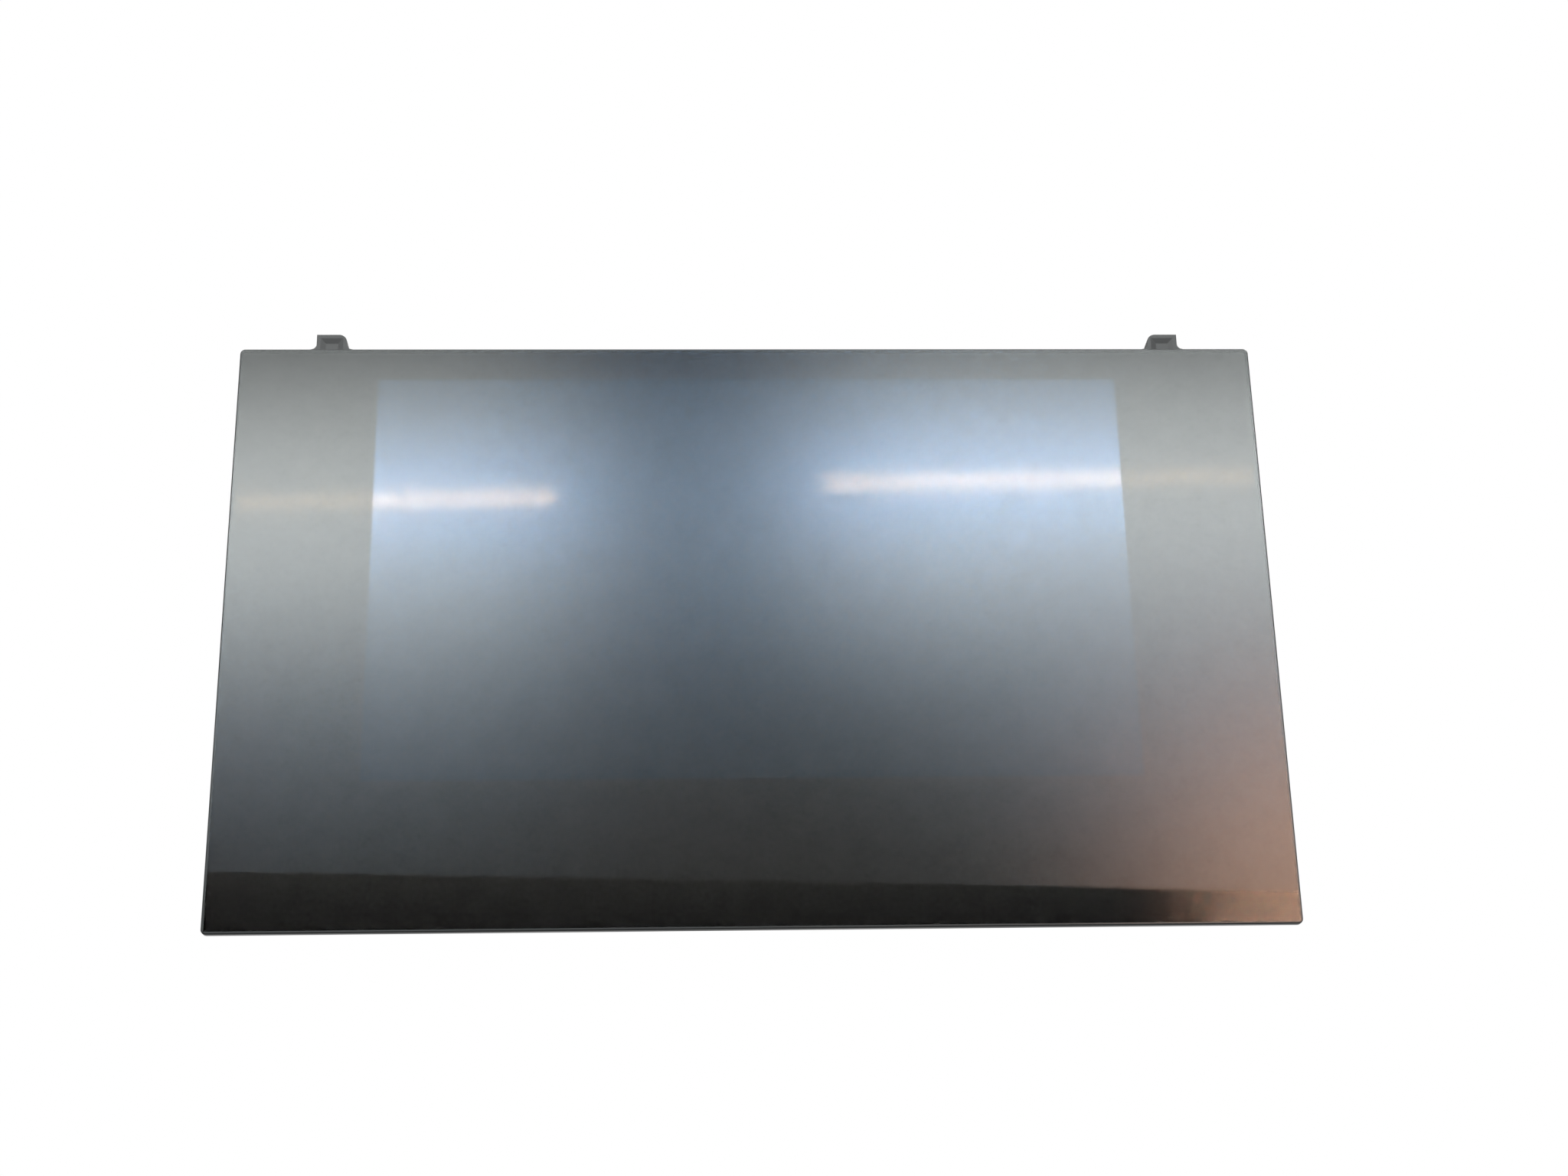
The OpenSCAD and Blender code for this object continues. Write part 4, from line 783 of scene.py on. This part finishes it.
ceramic, tree, surface = new_finish("ceramic parts")
shades = cells(tree, shade_size, output="Color")
tree.links.new(blend(tree, shades, ceramic_dark, ceramic_light), surface.inputs["Base Color"])
vary_gloss(tree, surface, patch=0.0003, smooth=0.35, rough=0.55)
raise_grain(tree, surface, patches(tree, ceramic_grain), ceramic_grain_depth)
dress(ceramic, "chip_parts")

# Sockets for the flexible circuits
# Low sockets moulded in brown heat-proof plastic and soldered to the front of the board. Each holds the
# end of one flexible circuit.
brown = patchy_finish("brown moulded plastic", dark=(0.05, 0.038, 0.028), light=(0.075, 0.058, 0.042),
                      patch=0.006, smooth=0.4, rough=0.55, grain=0.0002, depth=0.00001)
dress(brown, "panel_socket", "touch_socket", "backlight_socket")

# Rear sockets
# The black power socket and the blue twin video socket stand on the board and look out through the
# housing's windows. Both are moulded in glass-filled plastic, whose fibres leave a faint flow.
fibre_flow = (3, 1, 1)
drawing_lines = (1, 20, 1)

black = patchy_finish("black socket plastic", dark=(0.014, 0.014, 0.015), light=(0.022, 0.022, 0.023),
                      patch=0.006, smooth=0.38, rough=0.52, grain=0.00018, depth=0.00001, stretch=fibre_flow)
dress(black, "power_socket")
blue = patchy_finish("blue socket plastic", dark=(0.012, 0.055, 0.2), light=(0.018, 0.075, 0.26),
                     patch=0.006, smooth=0.34, rough=0.48, grain=0.00018, depth=0.00001, stretch=fibre_flow)
dress(blue, "video_socket")
gold = patchy_finish("gold flashed contact", dark=(0.66, 0.47, 0.17), light=(0.78, 0.6, 0.27), patch=0.001,
                     smooth=0.18, rough=0.32, grain=0.0001, depth=0.000003, metallic=1,
                     stretch=drawing_lines)
dress(gold, "power_contacts")
brass = patchy_finish("plated brass contact", dark=(0.6, 0.55, 0.42), light=(0.72, 0.68, 0.56), patch=0.001,
                      smooth=0.18, rough=0.32, grain=0.0001, depth=0.000003, metallic=1,
                      stretch=drawing_lines)
dress(brass, "video_contacts")

# Rear housing
# Die cast in aluminium and shot blasted, so it is an even pale grey with a fine pitted grain, faintly
# mottled where the metal flowed together. The faces of its four bosses are milled flat and bright.
cast_dark = (0.36, 0.365, 0.37)
cast_light = (0.47, 0.475, 0.48)
cast_pit = (0.22, 0.222, 0.225)
cast_bare = (0.66, 0.665, 0.67)
cast_mottle = 0.028
cast_grain = 0.00045
cast_grain_depth = 0.00007
cast_edge = 0.0004
mill_reach = 0.00002
mill_pitch = 0.0004
mill_relief = 0.1
mill_roughness = 0.34


def where_milled(tree, milled, cast, flat):
    """A value for the cast surface, and another for the faces that are milled flat."""
    mix = tree.nodes.new("ShaderNodeMix")
    tree.links.new(milled, mix.inputs[0])
    tree.links.new(cast, mix.inputs[2])
    if isinstance(flat, float):
        mix.inputs[3].default_value = flat
    else:
        tree.links.new(flat, mix.inputs[3])
    return mix.outputs[0]


cast, tree, surface = new_finish("shot blasted cast aluminium")
mottle = patches(tree, cast_mottle, detail=5)
shot = patches(tree, cast_grain)
milled = reckon(tree, "LESS_THAN", reckon(tree, "ABSOLUTE", place_on_piece(tree)["Y"]), mill_reach)
rubbed = worn_edges(tree, cast_edge, patch=0.006, least=0.2, most=0.9)
body = blend(tree, spread(tree, mottle, 0, 1), cast_dark, cast_light)
pitted = blend(tree, spread(tree, shot, low=0.25, high=0), body, cast_pit)
bare = reckon(tree, "MAXIMUM", milled, rubbed)
tree.links.new(blend(tree, bare, pitted, cast_bare), surface.inputs["Base Color"])
matte = spread(tree, mottle, low=0.48, high=0.62)
tree.links.new(where_milled(tree, milled, matte, mill_roughness), surface.inputs["Roughness"])
surface.inputs["Metallic"].default_value = 1
turning = reckon(tree, "MULTIPLY", stripes(tree, mill_pitch), mill_relief)
raise_grain(tree, surface, where_milled(tree, milled, shot, turning), cast_grain_depth, cast_edge)
dress(cast, "rear_housing")

# Housing screws
# Eight screws with six-lobe drives, in black zinc plating that the driver has rubbed a little on the
# edges of their heads.
black_zinc_dark = (0.045, 0.045, 0.048)
black_zinc_light = (0.075, 0.075, 0.079)
bare_steel = (0.42, 0.42, 0.41)
black_zinc_metallic = 0.8
screw_grain = 0.0002
screw_grain_depth = 0.00001
screw_edge = 0.0001

black_zinc, tree, surface = new_finish("black zinc plating")
rubbed = worn_edges(tree, screw_edge * 2, patch=0.001, least=0.1, most=0.9)
body = two_tone(tree, black_zinc_dark, black_zinc_light, patch=0.0015)
tree.links.new(blend(tree, rubbed, body, bare_steel), surface.inputs["Base Color"])
vary_gloss(tree, surface, patch=0.0003, smooth=0.28, rough=0.42)
surface.inputs["Metallic"].default_value = black_zinc_metallic
raise_grain(tree, surface, patches(tree, screw_grain), screw_grain_depth, screw_edge)
dress(black_zinc, "housing_screws")

# Final picture and sizes
# A plain transform keeps the colours as they are written. The sampling pattern keeps the fine noise of the
# etched glass even, so that it clears to a smooth tone.
scene.cycles.sampling_pattern = "TABULATED_SOBOL"
scene.view_settings.view_transform = "Standard"
